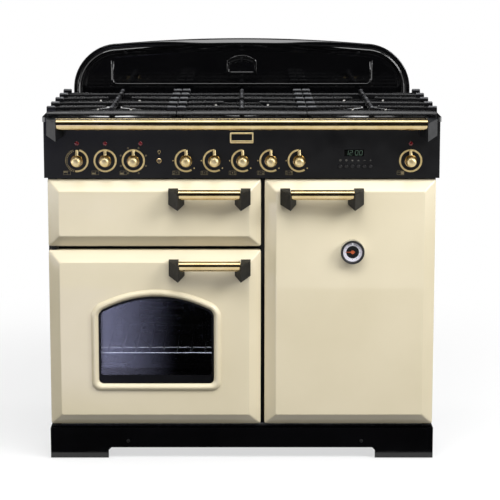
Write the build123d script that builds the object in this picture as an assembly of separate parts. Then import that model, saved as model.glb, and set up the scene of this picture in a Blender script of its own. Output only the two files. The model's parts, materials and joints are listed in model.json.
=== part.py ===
from build123d import *
import os

# Traditional dual-fuel range cooker, 100 cm class. Millimetres, +Z up, front towards -Y,
# origin on the floor below the middle of the cooker.

# Widths, left to right
body_width = 976.0
hob_overhang = 9.0
panel_overhang = 5.5
door_side_inset = 2.0
left_door_width = 534.0
door_split_x = 9.5

# Heights, from the floor up
plinth_lift = 2.0
plinth_top = 80.0
door_bottom_gap = 10.0
oven_door_height = 450.0
door_split_z = 10.0
grill_door_height = 170.0
panel_gap = 4.0
panel_height = 140.0
hob_rim_height = 12.0
well_depth = 6.0
splash_height = 158.0

# Depths, from the handles to the back
overall_depth = 666.0
handle_projection = 58.0
door_depth = 40.0
door_gap = 11.0
panel_setback = 14.0
inlet_projection = 28.0
splash_depth = 20.0
hob_rear_gap = 1.0

# Sheet, clearances and fits
sheet = 2.0
seat_gap = 0.3
running_clearance = 0.06
hinge_clearance = 0.08
fit_clearance = 0.1

# Levels and planes worked out from the sizes above
half_body = body_width / 2
hob_width = body_width + 2 * hob_overhang
panel_width = body_width + 2 * panel_overhang
back_y = overall_depth / 2
door_front_y = handle_projection - overall_depth / 2
door_back_y = door_front_y + door_depth
frame_y = door_back_y + door_gap
frame_back_y = frame_y + sheet
panel_front_y = door_front_y + panel_setback
cover_rear_y = back_y - inlet_projection
cover_front_y = cover_rear_y - sheet
hob_front_y = panel_front_y
hob_back_y = cover_front_y - hob_rear_gap

door_bottom = plinth_top + door_bottom_gap
oven_door_top = door_bottom + oven_door_height
grill_door_bottom = oven_door_top + door_split_z
door_top = grill_door_bottom + grill_door_height
panel_bottom = door_top + panel_gap
panel_top = panel_bottom + panel_height
hob_top = panel_top + hob_rim_height
well_floor = hob_top - well_depth
hob_seat = well_floor - sheet

left_door_x0 = door_side_inset - half_body
left_door_x1 = left_door_x0 + left_door_width
right_door_x0 = left_door_x1 + door_split_x
right_door_x1 = half_body - door_side_inset
left_centre_x = (left_door_x0 + left_door_x1) / 2
right_centre_x = (right_door_x0 + right_door_x1) / 2

nodes = {}


# Shape helpers
def slab(x0, x1, y0, y1, z0, z1):
    centre = Pos((x0 + x1) / 2, (y0 + y1) / 2, (z0 + z1) / 2)
    return centre * Box(x1 - x0, y1 - y0, z1 - z0)


def rect(x0, x1, z0, z1, radius=0.0):
    shape = Rectangle(x1 - x0, z1 - z0)
    if radius > 0:
        shape = RectangleRounded(x1 - x0, z1 - z0, radius)
    return Pos((x0 + x1) / 2, (z0 + z1) / 2) * shape


def polygon(*points):
    return make_face(Polyline(*points, close=True))


def upright(y):
    return Plane(origin=(0, y, 0), x_dir=(1, 0, 0), z_dir=(0, -1, 0))


def plate(sketch, y_front, y_back):
    return extrude(upright(y_back) * sketch, amount=y_back - y_front)


def layer(sketch, z0, z1):
    return extrude(Plane.XY.offset(z0) * sketch, amount=z1 - z0)


def side_profile(sketch, x0, x1):
    return extrude(Plane.YZ.offset(x0) * sketch, amount=x1 - x0)


def rod_y(x, z, radius, y0, y1):
    return plate(Pos(x, z) * Circle(radius), y0, y1)


def rod_z(x, y, radius, z0, z1):
    return layer(Pos(x, y) * Circle(radius), z0, z1)


def rod_x(y, z, radius, x0, x1):
    return side_profile(Pos(y, z) * Circle(radius), x0, x1)


def turned(points, x, y, z):
    # Profile points are (radius, distance towards the back), turned about the Y axis
    return Pos(x, y, z) * revolve(polygon(*points), Axis.Y)


# Cavities behind the doors: inner width, height, floor level and depth
oven_width = 410.0
oven_height = 330.0
oven_floor_rise = 50.0
oven_rear_space = 105.0
grill_height = 105.0
grill_floor_rise = 32.0
grill_rear_space = 125.0
tall_width = 300.0
tall_height = 520.0
cavity_corner = 18.0
flange_width = 14.0

oven_floor = door_bottom + oven_floor_rise
oven_depth = cover_front_y - frame_back_y - oven_rear_space
grill_floor = grill_door_bottom + grill_floor_rise
grill_depth = cover_front_y - frame_back_y - grill_rear_space
main_oven = (left_centre_x, oven_width, oven_floor, oven_height, oven_depth)
grill_cavity = (left_centre_x, oven_width, grill_floor, grill_height, grill_depth)
tall_oven = (right_centre_x, tall_width, oven_floor, tall_height, oven_depth)
cavities = (main_oven, grill_cavity, tall_oven)


def mouth(cavity, grow=0.0):
    centre, width, floor, height, depth = cavity
    half = width / 2 + grow
    radius = cavity_corner + grow
    return rect(centre - half, centre + half, floor - grow, floor + height + grow, radius)


# Cabinet: base, sides, back, front frame and plinth
base_lift = 4.0
base_flange = 45.0
side_return = 15.0
leg_width = 148.0
notch_top = 29.0
notch_chamfer = 7.0
plinth_return = 140.0
foot_inset = 60.0
foot_setback = 70.0
foot_pad_radius = 20.0
foot_pad_height = 8.0
foot_pad_chamfer = 2.5
foot_stem_radius = 5.0
foot_nut_wall = 5.0
foot_nut_height = 8.0
roller_radius = 21.0
roller_width = 26.0
roller_inset = 70.0
roller_setback = 60.0
axle_radius = 5.0
roller_chamfer = 2.0
fork_gap = 1.0
fork_plate = 4.0
fork_half = 18.0
fork_drop = 12.0

base_level = plinth_top + base_lift
deck_level = base_level - sheet
fork_reach = roller_width / 2 + fork_gap + fork_plate
inner_x = half_body - sheet
base_bottom = base_level - base_flange
plinth_front_y = panel_front_y
foot_x = half_body - foot_inset
foot_y = frame_y + foot_setback
roller_x = half_body - roller_inset
roller_y = cover_front_y - roller_setback


def base_frame():
    outer = slab(-inner_x, inner_x, frame_back_y, cover_front_y, base_bottom, base_level)
    hollow = slab(
        sheet - inner_x, inner_x - sheet,
        frame_back_y + sheet, cover_front_y - sheet,
        base_bottom, deck_level,
    )
    frame = outer - hollow
    fork_bottom = roller_radius - fork_drop
    bore = axle_radius + running_clearance
    for side in (-1, 1):
        for reach in (-1, 1):
            inner = roller_x + reach * (roller_width / 2 + fork_gap)
            outer_edge = inner + reach * fork_plate
            x0, x1 = sorted((side * inner, side * outer_edge))
            frame += slab(x0, x1, roller_y - fork_half, roller_y + fork_half, fork_bottom, deck_level)
        x = side * roller_x
        frame -= rod_x(roller_y, roller_radius, bore, x - fork_reach, x + fork_reach)
        nut_radius = foot_stem_radius + foot_nut_wall
        frame += rod_z(side * foot_x, foot_y, nut_radius, deck_level - foot_nut_height, deck_level)
        frame -= rod_z(side * foot_x, foot_y, foot_stem_radius, base_bottom, deck_level)
    return frame


def levelling_feet():
    feet = []
    for side in (-1, 1):
        pad = rod_z(side * foot_x, foot_y, foot_pad_radius, 0, foot_pad_height)
        pad = chamfer(pad.edges().group_by(Axis.Z)[-1], foot_pad_chamfer)
        stem = rod_z(side * foot_x, foot_y, foot_stem_radius, foot_pad_height, deck_level)
        feet.append(pad + stem)
    return feet


def rear_rollers():
    rollers = []
    for side in (-1, 1):
        x = side * roller_x
        wheel = rod_x(roller_y, roller_radius, roller_radius, x - roller_width / 2, x + roller_width / 2)
        wheel = chamfer(wheel.edges().filter_by(GeomType.CIRCLE), roller_chamfer)
        axle = rod_x(roller_y, roller_radius, axle_radius, x - fork_reach, x + fork_reach)
        rollers.append(wheel + axle)
    return rollers


def side_panels():
    panels = []
    y0 = frame_back_y
    y1 = cover_front_y
    for side in (-1, 1):
        wall_x = side * half_body
        inside = side * inner_x
        edge = side * (inner_x - side_return)
        outline = polygon(
            (wall_x, y0), (wall_x, y1), (edge, y1), (edge, y1 - sheet), (inside, y1 - sheet),
            (inside, y0 + sheet), (edge, y0 + sheet), (edge, y0),
        )
        panels.append(layer(outline, base_level, panel_top))
    return panels


def front_frame():
    face = rect(-half_body, half_body, base_level, panel_bottom)
    for cavity in cavities:
        face -= mouth(cavity)
    return plate(face, frame_y, frame_back_y)


def plinth():
    notch_x = half_body - leg_width
    face = polygon(
        (-half_body, plinth_lift), (-notch_x, plinth_lift), (-notch_x, notch_top - notch_chamfer),
        (-notch_x + notch_chamfer, notch_top), (notch_x - notch_chamfer, notch_top),
        (notch_x, notch_top - notch_chamfer), (notch_x, plinth_lift), (half_body, plinth_lift),
        (half_body, plinth_top), (-half_body, plinth_top),
    )
    board = plate(face, plinth_front_y, plinth_front_y + sheet)
    lip_y = frame_back_y
    board += slab(-half_body, half_body, plinth_front_y, lip_y, plinth_top - sheet, plinth_top)
    for side in (-1, 1):
        x0, x1 = sorted((side * half_body, side * inner_x))
        board += slab(x0, x1, plinth_front_y, plinth_front_y + plinth_return, plinth_lift, plinth_top)
    return board


nodes["base_frame"] = [base_frame()]
nodes["levelling_feet"] = levelling_feet()
nodes["rear_rollers"] = rear_rollers()
nodes["side_panels"] = side_panels()
nodes["front_frame"] = [front_frame()]
nodes["plinth"] = [plinth()]

# Oven liners: folded boxes, open at the mouth, flanged behind the front frame
liner_back_hole = 9.0


def liner(cavity, fan_hole):
    centre, width, floor, height, depth = cavity
    flange_back = frame_back_y + sheet
    rear = frame_back_y + depth
    tube = plate(mouth(cavity, sheet) - mouth(cavity), frame_back_y, rear)
    flange = plate(mouth(cavity, flange_width) - mouth(cavity), frame_back_y, flange_back)
    back = plate(mouth(cavity, sheet), rear, rear + sheet)
    box = tube + flange + back
    if fan_hole:
        box -= rod_y(centre, floor + height / 2, liner_back_hole, rear, rear + sheet)
    return box


nodes["main_oven_liner"] = [liner(main_oven, True)]
nodes["tall_oven_liner"] = [liner(tall_oven, True)]
nodes["grill_chamber"] = [liner(grill_cavity, False)]

# Hotplate: pressed tray with a narrow raised rim and one shallow well
rim_border = 7.0
hob_corner = 12.0
well_front_y = hob_front_y + rim_border + sheet

# Pan supports: three castings side by side, five cross rows each
section_count = 3
section_gap = 2.0
section_margin = 1.5
section_front_gap = 3.0
section_rear_margin = 77.0
cross_rows = 5
row_width = 13.0
finger_width = 10.0
bar_lift = 9.0
bar_height = 13.0
finger_rise = 10.5
block_length = 22.0
block_slope = 9.0
tip_reach = 16.0
tip_lift = 4.0
support_foot_radius = 6.0

bar_bottom = well_floor + bar_lift
bar_top = bar_bottom + bar_height
support_top = bar_top + finger_rise
section_width = (body_width - 2 * section_margin - (section_count - 1) * section_gap) / section_count
section_pitch = section_width + section_gap
section_front_y = well_front_y + section_front_gap
section_depth = hob_back_y - section_rear_margin - section_front_y
row_pitch = (section_depth - row_width) / (cross_rows - 1)
row_y = [section_front_y + row_width / 2 + row * row_pitch for row in range(cross_rows)]
middle_row = cross_rows // 2

# Burners: a pair in each outer section, one wide wok burner in the middle section
rapid_radius = 46.0
simmer_radius = 36.0
wok_radius = 62.0
head_height = 9.0
head_step = 5.0
head_slope = 2.0
cap_height = 5.0
cap_overhang = 3.0
cap_round = 2.0
cap_crown = 1.5
cap_flat_share = 0.6
burner_cup_radius = 26.0
burner_cup_depth = 30.0

pair_rows = {1: simmer_radius, 3: rapid_radius}
sections = [(-section_pitch, pair_rows), (0.0, {middle_row: wok_radius}), (section_pitch, pair_rows)]
burners = [(x, row_y[row], radius) for x, rows in sections for row, radius in rows.items()]
tip_bottom = well_floor + head_height + cap_height + tip_lift


def hob_outline(inset, radius):
    half = hob_width / 2 - inset
    return rect(-half, half, hob_front_y + inset, hob_back_y - inset, radius)


def hotplate():
    lip = rim_border + sheet
    skirt = layer(hob_outline(0, hob_corner) - hob_outline(sheet, hob_corner - sheet), panel_top, hob_top)
    rim = layer(hob_outline(0, hob_corner) - hob_outline(lip, hob_corner / 3), hob_top - sheet, hob_top)
    ring = hob_outline(rim_border, hob_corner / 2) - hob_outline(lip, hob_corner / 3)
    wall = layer(ring, hob_seat, hob_top)
    floor = layer(hob_outline(rim_border, hob_corner / 2), hob_seat, well_floor)
    tray = skirt + rim + wall + floor
    for x, y, radius in burners:
        tray -= rod_z(x, y, burner_cup_radius + fit_clearance, hob_seat, well_floor)
    return tray


def burner_head(x, y, radius):
    half = cap_height / 2
    profile = polygon(
        (0, -burner_cup_depth), (burner_cup_radius, -burner_cup_depth), (burner_cup_radius, 0),
        (radius, 0), (radius, half), (radius - head_step, half + head_slope),
        (radius - head_step, head_height), (0, head_height),
    )
    solid = revolve(Plane.XZ * profile, Axis.Z)
    return Pos(x, y, well_floor) * solid


def burner_cap(x, y, radius):
    edge = radius - head_step + cap_overhang
    profile = polygon(
        (0, 0), (edge - cap_round / 2, 0), (edge, cap_round), (edge - cap_round, cap_height - cap_crown),
        (edge * cap_flat_share, cap_height), (0, cap_height),
    )
    solid = revolve(Plane.XZ * profile, Axis.Z)
    return Pos(x, y, well_floor + head_height) * solid


def finger_outline(outer, radius):
    # One cross finger from the section's side, rising over the edge of its burner
    block_foot = outer - block_length - block_slope
    reach = radius + cap_overhang
    rise = reach + block_slope
    inner = radius - tip_reach
    return [
        (outer, bar_bottom), (outer, support_top), (outer - block_length, support_top),
        (block_foot, bar_top), (rise + block_slope, bar_top), (rise, support_top),
        (inner, support_top), (inner, tip_bottom), (reach, tip_bottom), (rise, bar_bottom),
    ]


def cross_bar(half):
    # A cross row without a burner: raised blocks at both ends, low between them
    shoulder = half - block_length
    slope = shoulder - block_slope
    return [
        (half, bar_bottom), (half, support_top), (shoulder, support_top), (slope, bar_top),
        (-slope, bar_top), (-shoulder, support_top), (-half, support_top), (-half, bar_bottom),
    ]


def spine_piece(x, y0, y1):
    slope = finger_rise / 3
    profile = polygon(
        (y0, tip_bottom), (y1, tip_bottom), (y1, support_top - slope), (y1 - slope, support_top),
        (y0 + slope, support_top), (y0, support_top - slope),
    )
    return side_profile(profile, x - finger_width / 2, x + finger_width / 2)


def pan_support(x, burner_rows):
    half = section_width / 2
    bars = []
    for row, y in enumerate(row_y):
        outlines = [cross_bar(half)]
        if row in burner_rows:
            right = finger_outline(half, burner_rows[row])
            outlines = [right, [(-px, pz) for px, pz in right]]
        for outline in outlines:
            bars.append(plate(Pos(x, 0) * polygon(*outline), y - row_width / 2, y + row_width / 2))
    feet = [(x, row_y[0])]
    for side in (-1, 1):
        rail_x = x + side * (half - row_width / 2)
        feet += [(rail_x, row_y[0]), (rail_x, row_y[-1])]
        bars.append(slab(
            rail_x - row_width / 2, rail_x + row_width / 2, row_y[0], row_y[-1],
            bar_bottom, (bar_bottom + bar_top) / 2,
        ))
    bars += [rod_z(*foot, support_foot_radius, well_floor, bar_bottom) for foot in feet]
    stops = [row_y[0] - row_width / 2]
    for row, radius in burner_rows.items():
        stops += [row_y[row] - radius + tip_reach, row_y[row] + radius - tip_reach]
    stops.append(row_y[-1] + row_width / 2)
    bars += [spine_piece(x, y0, y1) for y0, y1 in zip(stops[0::2], stops[1::2])]
    return bars[0].fuse(*bars[1:])


nodes["hotplate"] = [hotplate()]
nodes["burner_heads"] = [burner_head(*burner) for burner in burners]
nodes["burner_caps"] = [burner_cap(*burner) for burner in burners]
nodes["pan_supports"] = [pan_support(x, rows) for x, rows in sections]

# Splashback: arched upstand with a raised rim and a U-shaped swage
splash_inset = 31.0
splash_corner = 124.0
splash_arch_rise = 15.0
splash_rim = 17.0
splash_rim_proud = 8.0
splash_overlap = 4.0
swage_inset = 103.0
swage_width = 7.0
swage_proud = 4.0
swage_foot = 32.0
swage_height = 70.0
swage_corner = 26.0

diagonal = 0.5 ** 0.5
splash_width = hob_width - 2 * splash_inset
splash_foot = panel_top - splash_overlap
splash_top = hob_top + splash_height
splash_panel_y = cover_front_y + splash_rim_proud
splash_back_y = cover_front_y + splash_depth


def splash_outline(inset):
    half = splash_width / 2 - inset
    radius = splash_corner - inset
    foot = splash_foot
    crown = splash_top - inset
    shoulder = crown - splash_arch_rise
    knee = shoulder - radius
    bend = radius * diagonal
    outline = [
        Line((-half, foot), (-half, knee)),
        ThreePointArc(
            (-half, knee), (radius - half - bend, knee + bend), (radius - half, shoulder),
        ),
        ThreePointArc((radius - half, shoulder), (0, crown), (half - radius, shoulder)),
        ThreePointArc(
            (half - radius, shoulder), (half - radius + bend, knee + bend), (half, knee),
        ),
        Line((half, knee), (half, foot)),
        Line((half, foot), (-half, foot)),
    ]
    return make_face(outline)


def splashback():
    board = plate(splash_outline(0), splash_panel_y, splash_back_y)
    rim = plate(splash_outline(0) - splash_outline(splash_rim), cover_front_y, splash_panel_y)
    half = splash_width / 2 - swage_inset
    foot = hob_top + swage_foot
    tall = foot + swage_height
    swage = rect(-half, half, foot, tall + swage_corner, swage_corner)
    inner = swage_corner - swage_width
    inner_half = half - swage_width
    swage -= rect(-inner_half, inner_half, foot + swage_width, tall + swage_corner, inner)
    swage -= rect(-half, half, tall - swage_corner, tall + 2 * swage_corner)
    ridge = plate(swage, splash_panel_y - swage_proud, splash_panel_y)
    return board + rim + ridge


nodes["splashback"] = [splashback()]

# Back cover: flanged sheet with vent slots, a terminal box with its cable bore, and the gas hole
vent_slots = 8
vent_pitch = 70.0
vent_length = 46.0
vent_height = 9.0
vent_rise = 60.0
vent_round_share = 0.48
terminal_width = 120.0
terminal_height = 90.0
terminal_rise = 60.0
terminal_inset = 188.0
cable_radius = 10.0
inlet_inset = 48.0
inlet_rise = 62.0
inlet_radius = 14.0
inlet_hole_gap = 2.0
inlet_thread_radius = 9.3
inlet_thread_depth = 16.0

vent_level = panel_bottom + vent_rise
terminal_x = terminal_inset - half_body
terminal_level = oven_floor + terminal_rise
inlet_x = half_body - inlet_inset
inlet_level = panel_bottom + inlet_rise


def back_cover():
    sheet_face = rect(-half_body, half_body, base_level, splash_foot)
    for slot in range(vent_slots):
        x = (slot - (vent_slots - 1) / 2) * vent_pitch
        sheet_face -= rect(
            x - vent_length / 2, x + vent_length / 2, vent_level, vent_level + vent_height,
            vent_height * vent_round_share,
        )
    sheet_face -= Pos(inlet_x, inlet_level) * Circle(inlet_radius + inlet_hole_gap)
    cover = plate(sheet_face, cover_front_y, cover_rear_y)
    cover += slab(-half_body, half_body, cover_front_y, splash_back_y, splash_foot - sheet, splash_foot)
    box_x0 = terminal_x - terminal_width / 2
    box_x1 = terminal_x + terminal_width / 2
    box_top = terminal_level + terminal_height
    cover += slab(box_x0, box_x1, cover_rear_y, back_y, terminal_level, box_top)
    hollow_y = back_y - sheet
    cover -= slab(
        box_x0 + sheet, box_x1 - sheet, cover_front_y, hollow_y,
        terminal_level + sheet, box_top - sheet,
    )
    middle_y = (cover_rear_y + back_y) / 2
    cover -= rod_z(terminal_x, middle_y, cable_radius, terminal_level, terminal_level + sheet)
    return cover


nodes["back_cover"] = [back_cover()]

# Door seals: rings on the front frame, just short of the closed doors
seal_width = 9.0
seal_margin = 5.0


def door_seal(cavity):
    ring = mouth(cavity, seal_margin + seal_width) - mouth(cavity, seal_margin)
    return plate(ring, door_back_y + seat_gap, frame_y)


nodes["door_seals"] = [door_seal(cavity) for cavity in cavities]

# Doors: pressed shells with bevelled borders, pivoted on vertical pins near one edge
door_wall = 2.0
door_corner = 5.0
door_edge_depth = 18.0
bevel_width = 29.0
pivot_inset = 13.0
pivot_depth = 9.0
pin_radius = 4.0
pin_reach = 10.0
pivot_boss_radius = 6.5
liner_field_inset = 22.0
liner_field_depth = 6.0

pivot_y = door_back_y - pivot_depth
left_pivot_x = left_door_x0 + pivot_inset
right_pivot_x = right_door_x1 - pivot_inset
bevel_y = door_back_y - door_edge_depth


def door_form(x0, x1, z0, z1, wall):
    back = rect(x0 + wall, x1 - wall, z0 + wall, z1 - wall, door_corner - wall / 2)
    border = bevel_width + wall / 2
    front = rect(x0 + border, x1 - border, z0 + border, z1 - border, door_corner - wall / 2)
    edge = plate(back, bevel_y, door_back_y)
    bevel = loft([upright(bevel_y) * back, upright(door_front_y + wall) * front], ruled=True)
    return edge + bevel


def door_panel(x0, x1, z0, z1, pivot_x):
    shell = door_form(x0, x1, z0, z1, 0.0) - door_form(x0, x1, z0, z1, door_wall)
    top = rod_z(pivot_x, pivot_y, pivot_boss_radius, z1 - pin_reach, z1)
    bottom = rod_z(pivot_x, pivot_y, pivot_boss_radius, z0, z0 + pin_reach)
    shell += top + bottom
    for level0, level1 in ((z0, z0 + pin_reach), (z1 - pin_reach, z1)):
        shell -= rod_z(pivot_x, pivot_y, pin_radius + hinge_clearance, level0, level1)
    return shell


def door_liner(x0, x1, z0, z1, cavity):
    # Flat closing sheet with a field pressed out towards the oven, inside the seal
    inset = door_wall + fit_clearance
    face = rect(x0 + inset, x1 - inset, z0 + inset, z1 - inset, door_corner - door_wall / 2)
    field = mouth(cavity, -liner_field_inset / 2)
    pressed = mouth(cavity, -liner_field_inset / 2 - sheet)
    sheet_y = door_back_y - sheet
    field_y = door_back_y + liner_field_depth
    closing = plate(face - pressed, sheet_y, door_back_y)
    rim = plate(field - pressed, door_back_y, field_y)
    base = plate(field, field_y - sheet, field_y)
    return closing + rim + base


oven_door = (left_door_x0, left_door_x1, door_bottom, oven_door_top)
grill_door = (left_door_x0, left_door_x1, grill_door_bottom, door_top)
tall_door = (right_door_x0, right_door_x1, door_bottom, door_top)

# Arched window of the main oven door, with its raised bead and two panes
window_width = 291.0
window_lift = 110.0
window_offset = 3.0
window_spring = 186.0
window_rise = 39.0
window_corner = 12.0
spring_growth_share = 0.6
bead_width = 18.0
bead_proud = 8.0
bead_round = 4.5
pane_margin = 14.0
pane_thickness = 4.0

window_foot = door_bottom + window_lift
window_x = left_centre_x + window_offset


def window_outline(grow):
    half = window_width / 2 + grow
    foot = window_foot - grow
    spring = window_foot + window_spring + grow * spring_growth_share
    crown = window_foot + window_spring + window_rise + grow
    radius = window_corner + grow / 2
    bend = radius * (1 - diagonal)
    outline = [
        Line((radius - half, foot), (half - radius, foot)),
        ThreePointArc((half - radius, foot), (half - bend, foot + bend), (half, foot + radius)),
        Line((half, foot + radius), (half, spring)),
        ThreePointArc((half, spring), (0, crown), (-half, spring)),
        Line((-half, spring), (-half, foot + radius)),
        ThreePointArc((-half, foot + radius), (bend - half, foot + bend), (radius - half, foot)),
    ]
    face = make_face(outline)
    springers = face.vertices().filter_by(lambda corner: abs(corner.Y - spring) < seat_gap)
    return Pos(window_x, 0) * fillet(springers, radius)


def oven_door_panel():
    panel = door_panel(*oven_door, left_pivot_x)
    bead = plate(window_outline(bead_width), door_front_y - bead_proud, door_front_y)
    bead = chamfer(bead.edges().group_by(Axis.Y)[0], bead_round)
    panel += bead
    panel -= plate(window_outline(0), door_front_y - bead_proud, door_front_y + door_wall)
    return panel


def pane_face():
    half = window_width / 2 + pane_margin
    crown = window_foot + window_spring + window_rise
    return rect(window_x - half, window_x + half, window_foot - pane_margin, crown + pane_margin)


def door_panes():
    outer_y = door_front_y + door_wall
    inner_y = door_back_y + liner_field_depth - sheet
    return [
        plate(pane_face(), outer_y, outer_y + pane_thickness),
        plate(pane_face(), inner_y - pane_thickness, inner_y),
    ]


def oven_door_liner():
    lined = door_liner(*oven_door, main_oven)
    return lined - plate(window_outline(0), door_back_y - sheet, door_back_y + liner_field_depth)


# Bar handles: a round bar cradled between two faceted brackets
bracket_outer = 24.5
bracket_inner = 15.0
bracket_above = 11.5
bracket_side = 28.0
bracket_tip = 37.0
bracket_shoulder = 12.0
bracket_slope = 8.5
handle_axis = 36.0
handle_radius = 12.5
bar_end_gap = 1.0
handle_drop = 31.5
left_handle_inset = 26.0
left_handle_length = 205.0
tall_handle_inset = 38.5
tall_handle_length = 208.0


def faceted_bracket(scale, projection):
    # Home-plate front, prow-shaped plan and sloping top; the side towards the bar ends at the bar's axis
    outer = bracket_outer * scale
    inner = bracket_inner * scale
    top = bracket_above * scale
    side = -bracket_side * scale
    tip = -bracket_tip * scale
    shoulder = bracket_shoulder
    front = polygon((-outer, top), (-outer, side), (0, tip), (inner, side), (inner, 0), (0, 0), (0, top))
    plan = polygon((-outer, 0), (-outer, -shoulder), (0, -projection), (inner, -shoulder), (inner, 0))
    profile = polygon((0, top), (-projection, top - bracket_slope), (-projection, tip), (0, tip))
    block = plate(front, -projection, 0)
    block &= layer(plan, tip, top)
    block &= side_profile(profile, -outer, inner)
    return block


def handle(x0, x1, level):
    # Outer edges of the two brackets, and the level of the bar's axis
    axis_y = door_front_y - handle_axis
    bar_x0 = x0 + bracket_outer + bar_end_gap
    bar_x1 = x1 - bracket_outer - bar_end_gap
    bar = rod_x(axis_y, level, handle_radius, bar_x0, bar_x1)
    loose = handle_radius + fit_clearance
    socket = rod_x(axis_y, level, loose, bar_x0 - fit_clearance, bar_x1 + fit_clearance)
    left = faceted_bracket(1.0, handle_projection)
    right = mirror(left, about=Plane.YZ)
    brackets = [
        Pos(x0 + bracket_outer, door_front_y, level) * left - socket,
        Pos(x1 - bracket_outer, door_front_y, level) * right - socket,
    ]
    return bar, brackets


left_handle_x1 = left_door_x1 - left_handle_inset
left_handle_x0 = left_handle_x1 - left_handle_length
tall_handle_x0 = right_door_x0 + tall_handle_inset
tall_handle_x1 = tall_handle_x0 + tall_handle_length

grill_bar, grill_brackets = handle(left_handle_x0, left_handle_x1, door_top - handle_drop)
oven_bar, oven_brackets = handle(left_handle_x0, left_handle_x1, oven_door_top - handle_drop)
tall_bar, tall_brackets = handle(tall_handle_x0, tall_handle_x1, door_top - handle_drop)

# Thermometer on the tall door: open cup with a stem through the skin, and its pointer
gauge_offset = 5.0
gauge_rise = 451.0
gauge_radius = 30.0
gauge_round = 2.0
gauge_depth = 22.0
gauge_wall = 3.0
gauge_dial_depth = 8.0
gauge_stem_radius = 5.0
gauge_stem_length = 14.0
pointer_shaft_radius = 2.0
pointer_length = 17.0
pointer_width = 3.0
pointer_thickness = 1.5
pointer_hub_radius = 4.5
pointer_tail = 6.0
pointer_tip = 0.4

gauge_x = right_centre_x + gauge_offset
gauge_level = door_bottom + gauge_rise


def gauge_case():
    dial_y = gauge_dial_depth - gauge_depth
    inner = gauge_radius - gauge_wall
    bore = pointer_shaft_radius + running_clearance
    profile = [
        (bore, dial_y), (inner, dial_y), (inner, -gauge_depth),
        (gauge_radius - gauge_round / 2, -gauge_depth), (gauge_radius, gauge_round - gauge_depth),
        (gauge_radius, 0), (gauge_stem_radius, 0), (gauge_stem_radius, gauge_stem_length),
        (bore, gauge_stem_length),
    ]
    return turned(profile, gauge_x, door_front_y, gauge_level)


def gauge_pointer():
    face_y = door_front_y + gauge_dial_depth - gauge_depth - seat_gap
    shaft = rod_y(gauge_x, gauge_level, pointer_shaft_radius, face_y, door_front_y)
    hub = rod_y(gauge_x, gauge_level, pointer_hub_radius, face_y - 2 * pointer_thickness, face_y)
    half = pointer_width / 2
    needle_face = polygon(
        (pointer_tail, -half), (pointer_tail, half), (-pointer_length, pointer_tip),
        (-pointer_length, -pointer_tip),
    )
    needle = plate(Pos(gauge_x, gauge_level) * needle_face, face_y - pointer_thickness, face_y)
    return shaft + hub + needle


def tall_door_panel():
    panel = door_panel(*tall_door, right_pivot_x)
    return panel - rod_y(gauge_x, gauge_level, gauge_stem_radius, door_front_y, door_front_y + door_wall)


nodes["grill_door_panel"] = [door_panel(*grill_door, left_pivot_x)]
nodes["grill_door_liner"] = [door_liner(*grill_door, grill_cavity)]
nodes["grill_handle_bar"] = [grill_bar]
nodes["grill_handle_brackets"] = grill_brackets
nodes["oven_door_panel"] = [oven_door_panel()]
nodes["oven_door_liner"] = [oven_door_liner()]
nodes["oven_door_glass"] = door_panes()
nodes["oven_handle_bar"] = [oven_bar]
nodes["oven_handle_brackets"] = oven_brackets
nodes["tall_door_panel"] = [tall_door_panel()]
nodes["tall_door_liner"] = [door_liner(*tall_door, tall_oven)]
nodes["tall_handle_bar"] = [tall_bar]
nodes["tall_handle_brackets"] = tall_brackets
nodes["gauge_case"] = [gauge_case()]
nodes["gauge_pointer"] = [gauge_pointer()]

# Hinge brackets: a tab on the front frame, an arm in the gap beside the door, and its pins
hinge_plate = 2.4
hinge_arm_half = 11.0
hinge_tab_height = 24.0
hinge_collar = 3.0
pin_end_gap = 1.0


def hinge_bracket(x, arm_bottom, door_below, door_above, tab_down):
    arm_front = pivot_y - hinge_arm_half
    arm_top = arm_bottom + hinge_plate
    bracket = slab(x - hinge_arm_half, x + hinge_arm_half, arm_front, frame_y, arm_bottom, arm_top)
    tab_z = (arm_bottom, arm_bottom + hinge_tab_height)
    if tab_down:
        tab_z = (arm_top - hinge_tab_height, arm_top)
    bracket += slab(x - hinge_arm_half, x + hinge_arm_half, frame_y - hinge_plate, frame_y, *tab_z)
    collar = pin_radius + hinge_collar
    pin_length = pin_reach - pin_end_gap
    if door_below is not None:
        bracket += rod_z(x, pivot_y, collar, door_below + seat_gap, arm_bottom)
        bracket += rod_z(x, pivot_y, pin_radius, door_below - pin_length, arm_bottom)
    if door_above is not None:
        bracket += rod_z(x, pivot_y, collar, arm_top, door_above - seat_gap)
        bracket += rod_z(x, pivot_y, pin_radius, arm_top, door_above + pin_length)
    return bracket


foot_arm = door_bottom - door_bottom_gap / 2
split_arm = oven_door_top + (door_split_z - hinge_plate) / 2
head_arm = door_top + (panel_gap - hinge_plate) / 2
nodes["hinge_brackets"] = [
    hinge_bracket(left_pivot_x, foot_arm, None, door_bottom, False),
    hinge_bracket(left_pivot_x, split_arm, oven_door_top, grill_door_bottom, False),
    hinge_bracket(left_pivot_x, head_arm, door_top, None, True),
    hinge_bracket(right_pivot_x, foot_arm, None, door_bottom, False),
    hinge_bracket(right_pivot_x, head_arm, door_top, None, True),
]

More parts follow.
